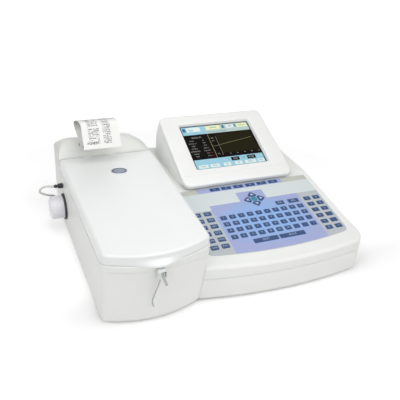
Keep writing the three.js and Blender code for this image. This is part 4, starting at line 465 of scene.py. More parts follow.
class Net:
    """The emptied node tree of a material or world, and short words for the nodes that are used here.

    Wherever an input is asked for, it is a number, a colour or another node's output.
    """

    def __init__(self, owner: bpy.types.Material | bpy.types.World) -> None:
        """Takes over an owner's node tree and empties it."""
        owner.use_nodes = True
        self.tree = owner.node_tree
        self.tree.nodes.clear()

    def put(self, socket: bpy.types.NodeSocket, value: object) -> None:
        """Links an output to an input, or sets the input's value."""
        if isinstance(value, bpy.types.NodeSocket):
            self.tree.links.new(value, socket)
        else:
            socket.default_value = value

    def add(self, kind: str, inputs: dict | None = None, **settings: object) -> bpy.types.Node:
        """Adds a node with its settings and inputs."""
        node = self.tree.nodes.new("ShaderNode" + kind)
        for key, value in settings.items():
            setattr(node, key, value)
        for key, value in (inputs or {}).items():
            self.put(node.inputs[key], value)
        return node

    def where(self, space: str = "Object") -> bpy.types.NodeSocket:
        """Coordinates: the object's own, or the texture's."""
        return self.add("TexCoord").outputs[space]

    def mapped(self, vector: object, scale: Point, offset: Point = (0, 0, 0)) -> bpy.types.NodeSocket:
        """A vector times a scale, plus an offset."""
        return self.add("Mapping", {"Vector": vector, "Scale": scale, "Location": offset}).outputs[0]

    def noise(self, vector: object, size_mm: float, detail: float) -> bpy.types.NodeSocket:
        """Cloudy noise whose cells are a size in millimetres."""
        inputs = {"Vector": vector, "Scale": 1 / (size_mm * MM), "Detail": detail}
        return self.add("TexNoise", inputs).outputs["Fac"]

    def maths(self, operation: str, a: object, b: object = 0.0, clamp: bool = False) -> bpy.types.NodeSocket:
        """One number made from one or two."""
        return self.add("Math", {0: a, 1: b}, operation=operation, use_clamp=clamp).outputs[0]

    def length(self, vector: object) -> bpy.types.NodeSocket:
        """How long a vector is."""
        return self.add("VectorMath", {0: vector}, operation="LENGTH").outputs["Value"]

    def blend(self, a: object, b: object, factor: object) -> bpy.types.NodeSocket:
        """A colour between two."""
        return self.add("Mix", {"A": a, "B": b, "Factor": factor}, data_type="RGBA").outputs["Result"]

    def spread(
        self, value: object, low: float, high: float, start: float = 0.0, end: float = 1.0,
        kind: str = "LINEAR",
    ) -> bpy.types.NodeSocket:
        """A value that goes from start to end, made to go from low to high."""
        span = {"Value": value, "From Min": start, "From Max": end, "To Min": low, "To Max": high}
        return self.add("MapRange", span, interpolation_type=kind).outputs["Result"]

    def between(self, value: object, low: float, high: float) -> bpy.types.NodeSocket:
        """One where a value lies between two limits, else nothing."""
        over = self.maths("GREATER_THAN", value, low)
        return self.maths("MULTIPLY", over, self.maths("LESS_THAN", value, high))

    def bump(self, shader: bpy.types.Node, height: object, strength: float, metres: float) -> None:
        """Lets a shader feel a height."""
        rough = self.add("Bump", {"Height": height, "Strength": strength, "Distance": metres})
        self.put(shader.inputs["Normal"], rough.outputs["Normal"])

    def seen(self) -> bpy.types.NodeSocket:
        """One for the rays of the camera, of reflections and of what shines through, else nothing."""
        path = self.add("LightPath").outputs
        direct = self.maths("MAXIMUM", path["Is Camera Ray"], path["Is Glossy Ray"])
        return self.maths("MAXIMUM", direct, path["Is Transmission Ray"])


@dataclass(frozen=True)
class Finish:
    """Base of every finish: a principled surface whose colour and gloss drift a little over a fine grain.

    Attributes:
        name: what the real one is.
        colour: its colour as sRGB hex.
        roughness: how dull its gloss is.
        ior: refraction of the surface.
        metallic: one for bare metal.
        grain_mm: size of the moulded grain.
        grain_depth: how strongly the grain shows.
        drift: how far the colour changes over a few centimetres.
        coat: strength of a clear lacquer on it.
    """

    name: str
    colour: str
    roughness: float = 0.45
    ior: float = 1.5
    metallic: float = 0.0
    grain_mm: float = 0.7
    grain_depth: float = 0.06
    drift: float = 0.02
    coat: float = 0.0

    def material(self) -> bpy.types.Material:
        """The finish's material, made once."""
        found = bpy.data.materials.get(self.name)
        if found:
            return found
        made = bpy.data.materials.new(self.name)
        net = Net(made)
        shader = net.add("BsdfPrincipled", {
            "Roughness": self.roughness, "IOR": self.ior, "Metallic": self.metallic, "Coat Weight": self.coat,
            "Coat Roughness": 0.35,
        })
        net.add("OutputMaterial", {"Surface": shader.outputs[0]})
        self.dress(net, shader)
        return made

    def tint(self, net: Net, shader: bpy.types.Node, factor: object, share: float) -> None:
        """Lets the colour drift towards a darker share of itself."""
        drifting = net.blend(linear(self.colour, share), linear(self.colour), factor)
        net.put(shader.inputs["Base Color"], drifting)

    def dress(self, net: Net, shader: bpy.types.Node) -> None:
        """Colour drift, gloss drift and fine grain over the object's own coordinates."""
        where = net.where()
        cloud = net.noise(where, 45, 3.0)
        self.tint(net, shader, cloud, 1 - self.drift * 2)
        gloss = net.spread(cloud, self.roughness * 0.9, min(self.roughness * 1.12, 1.0))
        net.put(shader.inputs["Roughness"], gloss)
        net.bump(shader, net.noise(where, self.grain_mm, 2.0), self.grain_depth, 0.0002)


@dataclass(frozen=True)
class DrawnMetal(Finish):
    """Metal with fine lines along one direction, as sheet or bar is drawn or milled."""

    metallic: float = 1.0
    stretch: tuple[float, float, float] = (1.0, 14.0, 14.0)

    def dress(self, net: Net, shader: bpy.types.Node) -> None:
        """Long fine lines from noise squeezed along two directions."""
        lines = net.noise(net.mapped(net.where(), self.stretch), 9, 6.0)
        self.tint(net, shader, lines, 0.86)
        net.put(shader.inputs["Roughness"], net.spread(lines, self.roughness * 0.75, self.roughness * 1.3))
        net.bump(shader, lines, 0.05, 0.0001)


@dataclass(frozen=True)
class Clear(Finish):
    """Clear or cloudy plastic or glass; `through` is the share of the light that passes."""

    through: float = 0.6

    def dress(self, net: Net, shader: bpy.types.Node) -> None:
        """Some of the light goes through; the rest is scattered by a slight haze."""
        net.put(shader.inputs["Transmission Weight"], self.through)
        self.tint(net, shader, net.noise(net.where(), 12, 2.0), 1 - self.drift * 3)


@dataclass(frozen=True)
class Lit(Finish):
    """A lit colour behind anti-glare film: it glows a little, so it looks the same in any light."""

    roughness: float = 0.35
    ior: float = 1.12
    glow: float = 0.1

    def dress(self, net: Net, shader: bpy.types.Node) -> None:
        """The colour as a surface and, weaker, as light, over a pixel net as fine as it shows."""
        pixels = {"Vector": net.where(), "Scale": 1 / (0.36 * MM)}
        cells = net.add("TexVoronoi", pixels, distance="CHEBYCHEV").outputs["Distance"]
        mix = net.blend(linear(self.colour), linear(self.colour, 0.9), cells)
        net.put(shader.inputs["Base Color"], mix)
        net.put(shader.inputs["Emission Color"], mix)
        net.put(shader.inputs["Emission Strength"], self.glow)


@dataclass(frozen=True)
class Film(Finish):
    """Silk-screened polyester film."""

    roughness: float = 0.5
    ior: float = 1.57
    grain_mm: float = 0.35
    grain_depth: float = 0.08


@dataclass(frozen=True)
class FadedFilm(Film):
    """Printed film whose middle is another colour, the two run into each other without an edge.

    Attributes:
        middle_colour: the colour of the middle as sRGB hex.
        middle: the middle's place in the frame, x and y in metres.
        half: half of the faded field's width and depth in metres.
    """

    middle_colour: str = "#87abdc"
    middle: tuple[float, float] = (0.0, 0.0)
    half: tuple[float, float] = (0.080, 0.046)

    def dress(self, net: Net, shader: bpy.types.Node) -> None:
        """The base's dressing, its colour replaced by a mix that follows the distance from the middle: one
        minus that distance raised to the third power, the distance measured in half widths and depths."""
        super().dress(net, shader)
        scale = (1 / self.half[0], 1 / self.half[1], 0.0)
        offset = (-self.middle[0] * scale[0], -self.middle[1] * scale[1], 0.0)
        far = net.maths("POWER", net.length(net.mapped(net.where(), scale, offset)), 3.0)
        near = net.maths("SUBTRACT", 1.0, far, clamp=True)
        mix = net.blend(linear(self.colour), linear(self.middle_colour), near)
        net.put(shader.inputs["Base Color"], mix)


@dataclass(frozen=True)
class PrintedPaper(Finish):
    """Thermal paper with rows of small grey print in two columns; u runs across, v along the strip.

    Attributes:
        ink: colour of the print.
        turned: colour of the painted shade over the crown of the curl, which the light hardly reaches.
        rows: rows of print in the texture's height.
        cells: letters' cells in the strip's width; a row is three cells high.
    """

    ink: str = "#858785"
    turned: str = "#a2a2a0"
    rows: float = PRINT_LENGTH / 2.6
    cells: float = 62.0

    def dress(self, net: Net, shader: bpy.types.Node) -> None:
        """Print where masks meet: the rows' bands, two columns, noise cut into letters, and noise that ends
        the lines early; then one foot line, and painted shade that darkens the crown."""
        uv = net.where("UV")
        parts = net.add("SeparateXYZ", {"Vector": uv}).outputs
        across, along = parts["X"], parts["Y"]
        band = net.maths("LESS_THAN", net.maths("FRACT", net.maths("MULTIPLY", along, self.rows)), 0.6)
        cells = net.mapped(uv, (self.cells, 3 * self.rows, 1.0))
        cells = net.add("VectorMath", {0: cells}, operation="FLOOR").outputs["Vector"]
        letters = net.add("TexWhiteNoise", {"Vector": cells}).outputs["Value"]
        strokes = net.maths("GREATER_THAN", letters, 0.3)
        words = {"Vector": net.mapped(uv, (5.0, self.rows, 1.0)), "Scale": 0.9, "Detail": 0.0}
        filled = net.maths("GREATER_THAN", net.add("TexNoise", words).outputs["Fac"], 0.38)
        body = net.maths("MAXIMUM", net.between(across, 0.16, 0.45), net.between(across, 0.55, 0.76))
        for mask in (band, strokes, filled, net.between(along, 0.50, 0.955)):
            body = net.maths("MULTIPLY", body, mask)
        foot = net.maths("MAXIMUM", net.between(across, 0.10, 0.40), net.between(across, 0.55, 0.68))
        for mask in (strokes, net.between(along, 0.918, 0.946)):
            foot = net.maths("MULTIPLY", foot, mask)
        # Painted shade: within 0.17 of the crown along the strip, the paper darkens towards the turned grey
        from_crown = net.maths("ABSOLUTE", net.maths("SUBTRACT", along, 0.47))
        crown_shade_tone = net.blend(linear(self.turned), linear(self.colour), net.spread(from_crown, 0, 1, 0, 0.17))
        mix = net.blend(crown_shade_tone, linear(self.ink), net.maths("MAXIMUM", body, foot))
        net.put(shader.inputs["Base Color"], mix)
        net.bump(shader, net.noise(net.where(), 0.9, 3.0), 0.04, 0.0001)


# Painted structural foam ABS: a soft warm white with a faint sheen
HOUSING = Finish("housing_painted_abs", "#e9eae7", 0.42, 1.49, grain_mm=0.8, grain_depth=0.05)
# The lid of lacquered ABS: cooler, with a thin clear coat
LID = Finish("lid_lacquered_abs", "#e9ebea", 0.36, 1.5, grain_mm=1.2, grain_depth=0.03, coat=0.3)
# Acetal of the sipper's paddle: a little greyer than the housing
ACETAL = Finish("grey_acetal", "#b7bab8", 0.4, 1.48, grain_depth=0.04)
# Inner deck and small holders of unpainted grey-white ABS with a moulded grain
DECK = Finish("deck_grained_abs", "#d5d8d6", 0.55, 1.5, grain_depth=0.12)
# Display bezel of white ABS
BEZEL = Finish("bezel_white_abs", "#e9eae8", 0.38, 1.5, grain_mm=0.9, grain_depth=0.04)
# Display hood of white ABS, set whiter than the bezel as painted light on its shaded sides
HOOD_WITH_PAINTED_LIGHT = Finish("hood_white_abs", "#f5f6f4", 0.42, 1.49, grain_mm=0.8, grain_depth=0.05)
# Printer housing of ABS, a shade greyer than the lid in front of it
PRINTER_SHELL = Finish("printer_grey_white_abs", "#e0e1dd", 0.45, 1.49, grain_mm=0.8, grain_depth=0.06)
# Black nylon of sockets, fan and pump ring
NYLON = Finish("black_nylon", "#26282c", 0.5, 1.53, grain_depth=0.15, drift=0.08)
# Rubber of feet and platen: dark and dull
RUBBER = Finish("black_rubber", "#1b1c1e", 0.85, 1.52, grain_mm=0.5, grain_depth=0.25, drift=0.1)
# Milled aluminium of the optics
MILLED = DrawnMetal("milled_aluminium", "#c9ccd0", 0.34)
# Plated sheet of the rear panel
SHEET = DrawnMetal("zinc_plated_sheet", "#bfc3c6", 0.38, stretch=(1.0, 1.0, 18.0))
# Drawn stainless steel of pins and guard
STEEL = DrawnMetal("drawn_stainless", "#d3d5d8", 0.22)
# Polyester film of the keypad, by its printed fields: the main one is light blue in its middle
_MIDDLE = tuple(place([246.3, 74.0, 0.0])[:2])
FILM_LAVENDER = FadedFilm("film_lavender", "#9ba4cd", middle=_MIDDLE)
FILM_VIOLET = Film("film_violet", "#9ca5cc")
FILM_PALE = Film("film_pale", "#d1d9da")
FILM_GREY = Film("film_grey", "#b4bbbf")
FILM_OLIVE = Film("film_olive_grey", "#b9bcb1")
FILM_NAVY = Film("film_deep_blue", "#103a6e", grain_depth=0.06, drift=0.05)
FILM_TEAL = Film("film_teal", "#23809a", grain_depth=0.06, drift=0.05)
# White screen ink of the keys' marks, thin enough that the blue shows through
INK = Finish("white_ink", "#aabccf", 0.6, 1.5)
# Grey-blue enamel of the blank badge, its dark ring, and its plated rim
BADGE = Finish("badge_enamel", "#8c93a8", 0.35, 1.5, drift=0.08, coat=0.2)
BADGE_RING = Finish("badge_ring_enamel", "#424a60", 0.35, 1.5, drift=0.08, coat=0.2)
BADGE_RIM = DrawnMetal("badge_rim_plated", "#d4d7de", 0.3, metallic=0.6)
# Glass of the dark panel, under an anti-glare film that hardly mirrors the room: the index is that film's
PANEL = Finish("panel_glass", "#0d0f12", 0.3, 1.15, grain_depth=0.0)
# Liquid crystal behind that film, by the colours that it shows
LCD_BLACK = Lit("lcd_black", "#0c0908")
LCD_CYAN = Lit("lcd_cyan", "#93c1d1")
LCD_PALE = Lit("lcd_pale_header", "#b1c5c1")
LCD_WHITE = Lit("lcd_white", "#d6e1e0")
LCD_YELLOW = Lit("lcd_yellow_green", "#dfe3b4")
LCD_BLUE = Lit("lcd_blue", "#3d7396")
LCD_OLIVE = Lit("lcd_olive", "#1d1a0b")
LCD_CURVE = Lit("lcd_curve", "#8d8867", glow=0.15)
LCD_GREY = Lit("lcd_grey", "#9a9c98", glow=0.15)
LCD_BAND_GREY = Lit("lcd_figure_grey", "#b9c4c6", glow=0.15)
LCD_RED = Lit("lcd_red", "#7e3029", glow=0.15)
# Thermal paper, plain inside the roll and printed outside; the printed strip's greyer white is painted shade
PAPER = Finish("thermal_paper", "#f1f1ee", 0.85, 1.45, grain_depth=0.08)
PRINT = PrintedPaper("thermal_paper_printed", "#e6e6e3", 0.8, 1.45)
# Cloudy polycarbonate of the pump's cover, with a violet cast
CLOUDY = Clear("cloudy_polycarbonate", "#fbf9ff", 0.25, 1.58, through=0.2)
# Clear soft tubing of silicone
TUBING = Clear("silicone_tubing", "#d9d7d2", 0.35, 1.41, through=0.15)
# The sipper's finer tube of fluoropolymer: greyer, as the liquid's wall shows through
FINE_TUBING = Clear("fluoropolymer_tubing", "#b9bab8", 0.3, 1.35, through=0.1)
# Fused quartz of cell and lamp
QUARTZ = Clear("fused_quartz", "#f2f6fa", 0.03, 1.46, through=0.92)
# Circuit board under green lacquer
BOARD = Finish("circuit_board", "#1f6b45", 0.4, 1.5, grain_mm=3.0, grain_depth=0.3, drift=0.15)


# Sub-assemblies


@dataclass
class Tower:
    """The optics tower: shell, lid and badge."""

    front_width: float = 132.0
    back_width: float = 143.0
    front: float = 11.0
    back: float = 309.0
    bulge: float = 16.0
    skew: float = 7.0
    lean: float = 8.0
    height: float = 84.0
    wall: float = 3.0
    radius_front: float = 12.0
    radius_back: float = 9.0
    band_height: float = 9.0
    band_proud: float = 1.0
    band_groove: float = 0.6
    band_dip: float = 6.0
    band_reach: float = 24.0
    lid_height: float = 12.6
    lid_back: float = 262.3
    lid_round: float = 6.0
    lid_round_front: float = 2.6
    lid_skin: float = 2.5
    lip_width: float = 62.0
    lip_proud: float = 6.5
    lip_drop: float = 3.2
    lug: float = 2.4
    hinge: tuple[float, float] = (260.2, 95.0)
    hinge_x: tuple[float, float] = (38.0, 74.0)
    fan_hole: tuple[float, float, float] = (23.0, 74.0, 31.0)
    vent_x: float = 66.0
    vent_y: tuple[float, float] = (86.5, 129.8)

    @property
    def lid_top(self) -> float:
        """Height of the lid's flat top."""
        return self.height + SEAM + self.lid_height

    def right_at(self, y: float) -> float:
        """The right wall's x at a depth."""
        share = (y - self.front) / (self.back - self.front)
        return self.front_width + (self.back_width - self.front_width) * share

    def plan(self, inset: float, lean: float, back: float, back_radius: float) -> Array:
        """The tower's front and sides up to a back; a lean pushes the front forward and deepens its bow."""
        near, far = max(self.radius_front - inset, LEAST), max(back_radius, LEAST)
        return bowed_outline(
            (inset, inset), (self.front_width - inset, self.right_at(back) - inset),
            self.front - lean / 2 + inset, back - inset, self.bulge + lean / 4,
            (near, near, far, far), self.skew - lean / 2,
        )

    def outline(self, inset: float = 0.0, lean: float = 0.0) -> Array:
        """The whole tower in plan."""
        return self.plan(inset, lean, self.back, self.radius_back - inset)

    def lid_outline(self, inset: float = 0.0) -> Array:
        """The lid in plan, ended in front of the printer."""
        return self.plan(inset, self.lean, self.lid_back, (self.radius_back - inset) / 2)

    def hull(self, gap: float) -> Surface:
        """The tower's outer form, grown by a gap and past both ends."""
        ends = (-5.0, self.height + 5.0)
        return skin(np.stack([level(self.outline(-gap, self.lean * z / self.height), z) for z in ends]))

    def shell(self) -> bpy.types.Object:
        """The tall shell, open on top. Its wall is the plan outline at each height, its front pushed forward
        in proportion to height; the rim band stands proud by a smooth step in height and place."""
        rings = foot_rings(self.outline)
        low = self.height - self.band_height - self.band_dip - 1
        for z in np.concatenate([np.linspace(6, low - 1, 9), np.linspace(low, self.height - 0.5, 46)]):
            rings.append(self.banded(z))
        for inset, lean, z in (
            (0.5, self.lean, self.height), (self.wall - 0.4, self.lean, self.height),
            (self.wall, self.lean, self.height - 0.5), (self.wall, 0, self.wall),
        ):
            rings.append(level(self.outline(inset, lean), z))
        obj = as_object("tower_shell", skin(np.stack(rings)))
        radius, x, z = self.fan_hole
        cutters = [
            rod(radius, self.back - 9, self.back + 5, (x, 0, z), "y", 72),
            rod(2.9, *THROUGH, (0, *PUMP_AT)),
            rod(2.1, *THROUGH, (0, *FITTING_AT), sides=24),
        ]
        vents = self.vent_x + (np.arange(9) - 4) * 9.0
        cutters += [block(x, x + 3, *self.vent_y, *THROUGH) for x in vents]
        return combine(obj, Cut.TAKE, *cutters)

    def banded(self, z: float) -> Array:
        """One ring of the wall, pushed out where the rim band runs: a step in height whose lower edge dips
        towards the console, with a fine groove below it, both fading along the side walls."""
        ring = self.outline(0, self.lean * z / self.height)
        out = self.outline(-1.0, self.lean * z / self.height) - ring
        past = np.clip(2 * ring[:, 0] / self.front_width - 1, 0, 1)
        lower = self.height - self.band_height - self.band_dip * past**2
        rise = np.clip((z - lower) / 0.7, 0, 1) * np.clip((self.height - z) / 0.9, 0, 1)
        groove = self.band_groove * np.exp(-(((z - lower + 0.5) / 0.55) ** 2))
        push = self.band_proud * smooth_step(rise) - groove
        push *= smooth_step((self.band_reach - ring[:, 1]) / 3)
        return level(ring + out * push[:, None], z)

    def lid(self) -> bpy.types.Object:
        """The lid as rings: up inside, over the bottom edge, up outside with the lip bulging forward, round
        the top edge, whose radius is tighter in front than at the sides. The lip's push forward is a squared
        cosine across times a rounded step in height."""
        bottom = self.height + 2 * SEAM
        base = self.lid_outline(0)
        near = smooth_step((self.front + self.radius_front / 2 - base[:, 1]) / self.radius_front)
        edge = self.lid_round + (self.lid_round_front - self.lid_round) * near
        turn = self.lid_top - edge
        aside = (base[:, 0] - (self.front_width / 2 - self.lid_skin)) / (self.lip_width / 2)
        bow = np.cos(np.clip(aside, -1, 1) * math.pi / 2) ** 2 * (base[:, 1] < self.front + 4)
        low = bottom - self.lip_drop * np.sqrt(bow)
        behind = base - np.outer(1.4 * np.minimum(bow * 4, 1), (0, 1))
        rings = [
            level(self.lid_outline(self.lid_skin + 2.0), self.lid_top - self.lid_skin),
            level(self.lid_outline(self.lid_skin), self.lid_top - self.lid_round),
            level(self.lid_outline(self.lid_skin), bottom),
            level(behind, bottom), level(behind, low),
        ]
        heights = [-0.1, 0, 1.3, 3.6, 5.5, 7.8, 9.5]
        shares = [0.45, 0.7, 1.0, 0.98, 0.62, 0.16, 0.0]
        for share in np.linspace(0, 1, 18) ** 1.1:
            z = low + (turn - low) * share
            push = self.lip_proud * bow * np.interp(z - (bottom - self.lip_drop), heights, shares)
            rings.append(level(base - np.outer(push, (0, 1)), z))
        inward = (self.lid_outline(self.lid_round) - base) / self.lid_round
        for drawn, rise in quarter(1.0, 10)[1:]:
            rings.append(level(base + inward * (edge * drawn)[:, None], turn + edge * rise))
        obj = as_object("lid_moulding", skin(np.stack(rings)))
        y, z = self.hinge
        combine(obj, Cut.JOIN, *[rod(self.lug, 0, 9, (x, y, z)) for x in self.hinge_x])
        cutters = []
        for x in self.hinge_x:
            cutters += [
                rod(1.3, -5, 14, (x, y, z), sides=24),
                block(x - 5.7, x + 0.1, y - 2.8, self.lid_back + 5, z - 0.01, self.lid_top + 5),
                block(x - 5.7, x + 0.1, y, self.lid_back + 5, z - 2.8, z),
                rod(2.8, -5.7, 0.1, (x, y, z)),
            ]
        return combine(obj, Cut.TAKE, *cutters)

    def build(self) -> None:
        """Builds and dresses the tower's pieces; the badge is a plated rim, a dark ring and a domed blank
        field, each turned and then made oval."""
        deliver(self.shell(), "housing", HOUSING, ["tower_housing"])
        deliver(self.lid(), "lid", LID, ["lid"])
        rim = [(11.6, 0), (11.6, 0.7), (11.3, 1.1), (10.9, 1.2), (10.5, 0.9), (10.4, 0.3), (10.4, 0)]
        ring = [(10.35, 0), (10.35, 0.6), (8.0, 0.75), (8.0, 0)]
        face = [(7.95, 0), (7.95, 0.78), (5.0, 0.9), (AXIS, 0.96)]
        oval = np.array([1.0, 20.4 / 23.2, 1.0])
        at = (self.front_width / 2 + 7.3, 200.0, self.lid_top + 0.1)
        for name, profile, finish, close, solids in (
            ("badge_rim", rim, BADGE_RIM, False, ["lid_badge"]), ("badge_ring", ring, BADGE_RING, False, ()),
            ("badge_face", face, BADGE, True, ()),
        ):
            form = lathe(profile, (0, 0, 0), "z", 96, close)
            piece = as_object(name, Surface(form.points * oval, form.faces).moved(at))
            deliver(piece, "lid", finish, solids)


@dataclass
class Printer:
    """The hump behind the lid, its roll cover, and the strip that has come out of it."""

    tower: Tower
    front: float = 263.0
    rise: float = 35.5
    shoulder: float = 13.0
    wall: float = 2.5
    edge: float = 1.6
    cover: tuple[float, float, float, float] = (22.0, 96.0, 279.0, 303.0)
    slot: tuple[float, float, float] = (60.4, 56.0, 109.5)
    paper_width: float = 54.0
    paper_thickness: float = 0.12
    curl: float = 13.0
    lean: float = math.radians(28)
    hang: float = 30.0
    climb: tuple[float, float] = (3.44, 30.0)
    sway: tuple[float, float] = (7.8, 6.2)

    def outline(self, inset: float = 0.0) -> Array:
        """The hump in plan: straight in front, the tower's sides and back behind."""
        far = max(self.tower.radius_back - inset, LEAST)
        return bowed_outline(
            (inset, inset), (self.tower.right_at(self.front) - inset, self.tower.back_width - inset),
            self.front + inset, self.tower.back - inset, 0.0, (0.6, 0.6, far, far), steps=40,
        )

    def height(self, plan: Array) -> Array:
        """The hump's height: the lesser of its side view, a ramp up and a ramp down under the top, and its
        front view, four ramps under the top, rounded wherever two of them meet."""
        x, y = plan[:, 0], plan[:, 1]
        top = self.tower.height + self.rise
        climb = self.tower.height + self.shoulder + (y - self.front) * 22.5 / 16
        fall = top - (y - 291.5) * 22.1 / 17.5
        side = smooth_least(smooth_least(climb, top, 7.0), fall, 12.0)
        left = top - 14.5 + np.clip(x, 0, 40) * 1.1
        shoulder = top - 7.5 + np.clip(x - 5, -5, 40) * 0.62
        gentle = top + 1 - (x - 74.8) * 4.6 / 37.2
        right = top - 3.6 - (x - 112) * 27.2 / 31
        across = smooth_least(smooth_least(left, shoulder, 2.0), top, 4.0)
        across = smooth_least(smooth_least(across, gentle, 3.0), right, 9.0)
        return smooth_least(side, across, 5.0)

    def hump(self) -> tuple[bpy.types.Object, bpy.types.Object]:
        """The housing and the cover, both cut from one hollow form."""
        form = hollow_cap(self.outline, self.height, self.tower.height + SEAM, self.edge, self.wall)
        x0, x1, y0, y1 = self.cover
        z0, z1 = 102, 125
        gap = 0.3
        housing = as_object("printer_shell", form)
        middle, width, z = self.slot
        y, pin_z = self.tower.hinge
        ears, holes = [], []
        for x in self.tower.hinge_x:
            ears.append(rod(self.tower.lug, 0, 5, (x - 5.3, y, pin_z)))
            ears.append(block(x - 5.3, x - gap, y, self.front + 1.2, pin_z - 2.3, pin_z + 1.6))
            holes.append(rod(1.05, -11, 5, (x, y, pin_z), sides=24))
        combine(housing, Cut.JOIN, *ears)
        slot = block(middle - width / 2, middle + width / 2, 258, 276.5, z, z + 3)
        combine(housing, Cut.TAKE, block(x0 - gap, x1 + gap, y0 - gap, y1 + gap, z0, z1), slot, *holes)
        cover = as_object("roll_cover_skin", form)
        return housing, combine(cover, Cut.KEEP, block(x0, x1, y0, y1, z0, z1))

    def strip(self) -> bpy.types.Object:
        """The strip: its middle line rises from the slot, turns over in a curl and hangs; each point of the
        line is carried across the width. The line sways to the left as it rises and most of the way back as
        it comes over, by smooth steps. u runs across the strip and v along it from the slot."""
        start = np.array([273.4, 110.4])
        face = np.array([267.2, 111.0])
        top = face + self.climb
        share = np.linspace(0, 1, 14)[:, None]
        rise = face + (top - face) * share
        rise[:, 0] -= (1.6 * np.sin(math.pi * share)).ravel()
        angle = np.linspace(0, math.pi - self.lean, 40)[1:]
        centre = top - [self.curl, 0]
        curl = centre + self.curl * np.column_stack([np.cos(angle), np.sin(angle)])
        hang = np.linspace(0, self.hang, 18)[1:, None]
        tail = curl[-1] - hang * [math.sin(self.lean), math.cos(self.lean)]
        tail[:, 0] -= (hang.ravel() / self.hang) ** 2 * 1.2
        line = np.concatenate([[start], rise, curl, tail])
        run = np.concatenate([[0], np.cumsum(np.linalg.norm(np.diff(line, axis=0), axis=1))])
        across = np.linspace(-self.paper_width / 2, self.paper_width / 2, 25)
        drift = self.sway[1] * smooth_step((run - 44) / 26) - self.sway[0] * smooth_step(run / 46)
        cup = 0.5 * (across / (self.paper_width / 2)) ** 2
        grid = np.stack([
            self.slot[0] + across[None, :] + drift[:, None],
            line[:, :1] + cup * np.clip((run[:, None] - 20) / 30, 0, 1) * 0.6,
            np.broadcast_to(line[:, 1:2], (len(line), len(across))),
        ], -1)
        u = np.broadcast_to(np.linspace(0, 1, len(across)), grid.shape[:2])
        v = np.broadcast_to(run[:, None] / PRINT_LENGTH, grid.shape[:2])
        obj = as_object("printed_strip", patch(grid, np.stack([u, v], -1).reshape(-1, 2)), merge=False)
        solid = obj.modifiers.new("paper", "SOLIDIFY")
        solid.thickness = self.paper_thickness * MM
        solid.offset = 0
        settle(obj)
        return obj

    def build(self) -> None:
        """Builds and dresses the printer's pieces."""
        housing, cover = self.hump()
        deliver(housing, "housing", PRINTER_SHELL, ["printer_housing"])
        deliver(cover, "roll_cover", PRINTER_SHELL, ["roll_cover"])
        strip = deliver(self.strip(), "housing", PRINT, ["paper_strip"], angle=60)
        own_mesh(strip)


@dataclass
class Pump:
    """The peristaltic pump on the left wall, with its tube."""

    ring: float = 19.0
    depth: float = 2.8
    cover: float = 16.6
    cover_wall: float = 1.5
    dome: float = 5.0
    reach: float = 22.0
    orbit: float = 13.4
    tube_x: float = -11.7
    tube: float = 1.5

    def ring_piece(self) -> Surface:
        """The black ring: a turned disc with a rounded rim, a groove for the cover and a shaft hole."""
        profile = [(2.9, 0), (13.8, 0), (14.8, 0), (14.8, 2.2), (16.9, 2.2), (16.9, 0), (self.ring - 1, 0)]
        profile += [(self.ring - 0.3, 0.3), (self.ring, 1.0), (self.ring, self.depth), (2.9, self.depth)]
        return lathe(profile, (-self.depth - 0.3, *PUMP_AT), "x", 96, close=False)

    def cover_piece(self) -> bpy.types.Object:
        """The cloudy cup: an outer and an inner profile with a domed edge, notched where the tube passes."""
        r, wall, dome = self.cover, self.cover_wall, self.dome
        mouth = self.reach - 2.6
        bend = np.linspace(0, math.pi / 2, 8)
        outer = [(r - dome + dome * math.sin(a), dome - dome * math.cos(a)) for a in bend]
        within = dome - wall
        inner = [(r - dome + within * math.sin(a), dome - within * math.cos(a)) for a in bend[::-1]]
        profile = [(AXIS, 0.0)] + outer + [(r, mouth), (r - wall, mouth)] + inner + [(AXIS, wall)]
        obj = as_object("pump_cover_moulded", lathe(profile, (-self.reach, *PUMP_AT), "x", 96))
        half = self.tube + 0.4
        y, z = PUMP_AT[0] + self.orbit, PUMP_AT[1]
        return combine(
            obj, Cut.TAKE,
            block(self.tube_x - half, 5, y - 2 * half, y + 17, z + 0.8, z + 8.4),
            block(self.tube_x - half, 5, y - half, y + 17, z - 10.3, z - 0.8),
        )

    def hose_piece(self) -> Surface:
        """The tube: out of the wall fitting in a loop, once round the rotor, and out below."""
        r, x = self.tube, self.tube_x
        (y, z), (loop_y, loop_z) = PUMP_AT, FITTING_AT
        side = y + self.orbit
        points = [
            (-13.6, loop_y, loop_z), (-25.6, loop_y, loop_z + r), (-32.8, loop_y + r, loop_z - 4 * r),
            (-23.8, loop_y + 4 * r, loop_z - 10 * r),
            (x, side + 5 * r, z + 5 * r), (x, side + r, z + 1.6 * r),
        ]
        angle = np.linspace(0.3, 2 * math.pi - 0.62, 11)
        points += [(x, y + self.orbit * math.cos(a), z + self.orbit * math.sin(a)) for a in angle]
        points += [(x, side + 2 * r, z - 5 * r), (x + r, side + 3 * r, z - 10 * r)]
        return hose(smooth_path(points, 14), r)

    def build(self) -> None:
        """Builds and dresses the pump's pieces; the barbed fitting in the wall is one turned profile."""
        deliver(as_object("pump_ring_turned", self.ring_piece()), "housing", NYLON, ["pump_ring"])
        deliver(self.cover_piece(), "pump_cover", CLOUDY, ["pump_cover"])
        tube = as_object("pump_hose", self.hose_piece())
        deliver(tube, "housing", TUBING, ["pump_tube"], angle=80)
        barbs = [
            (AXIS, 0), (1.6, 0), (2.0, 0.3), (2.9, 3.6), (2.9, 3.9), (2.0, 4.0), (2.0, 5.8), (3.2, 5.9),
            (3.6, 6.3), (3.6, 12.3), (3.3, 12.7), (1.8, 12.7), (1.8, 19), (AXIS, 19),
        ]
        fitting = as_object("wall_fitting", lathe(barbs, (-13, *FITTING_AT), "x", 48))
        deliver(fitting, "housing", NYLON, ["side_fitting"])


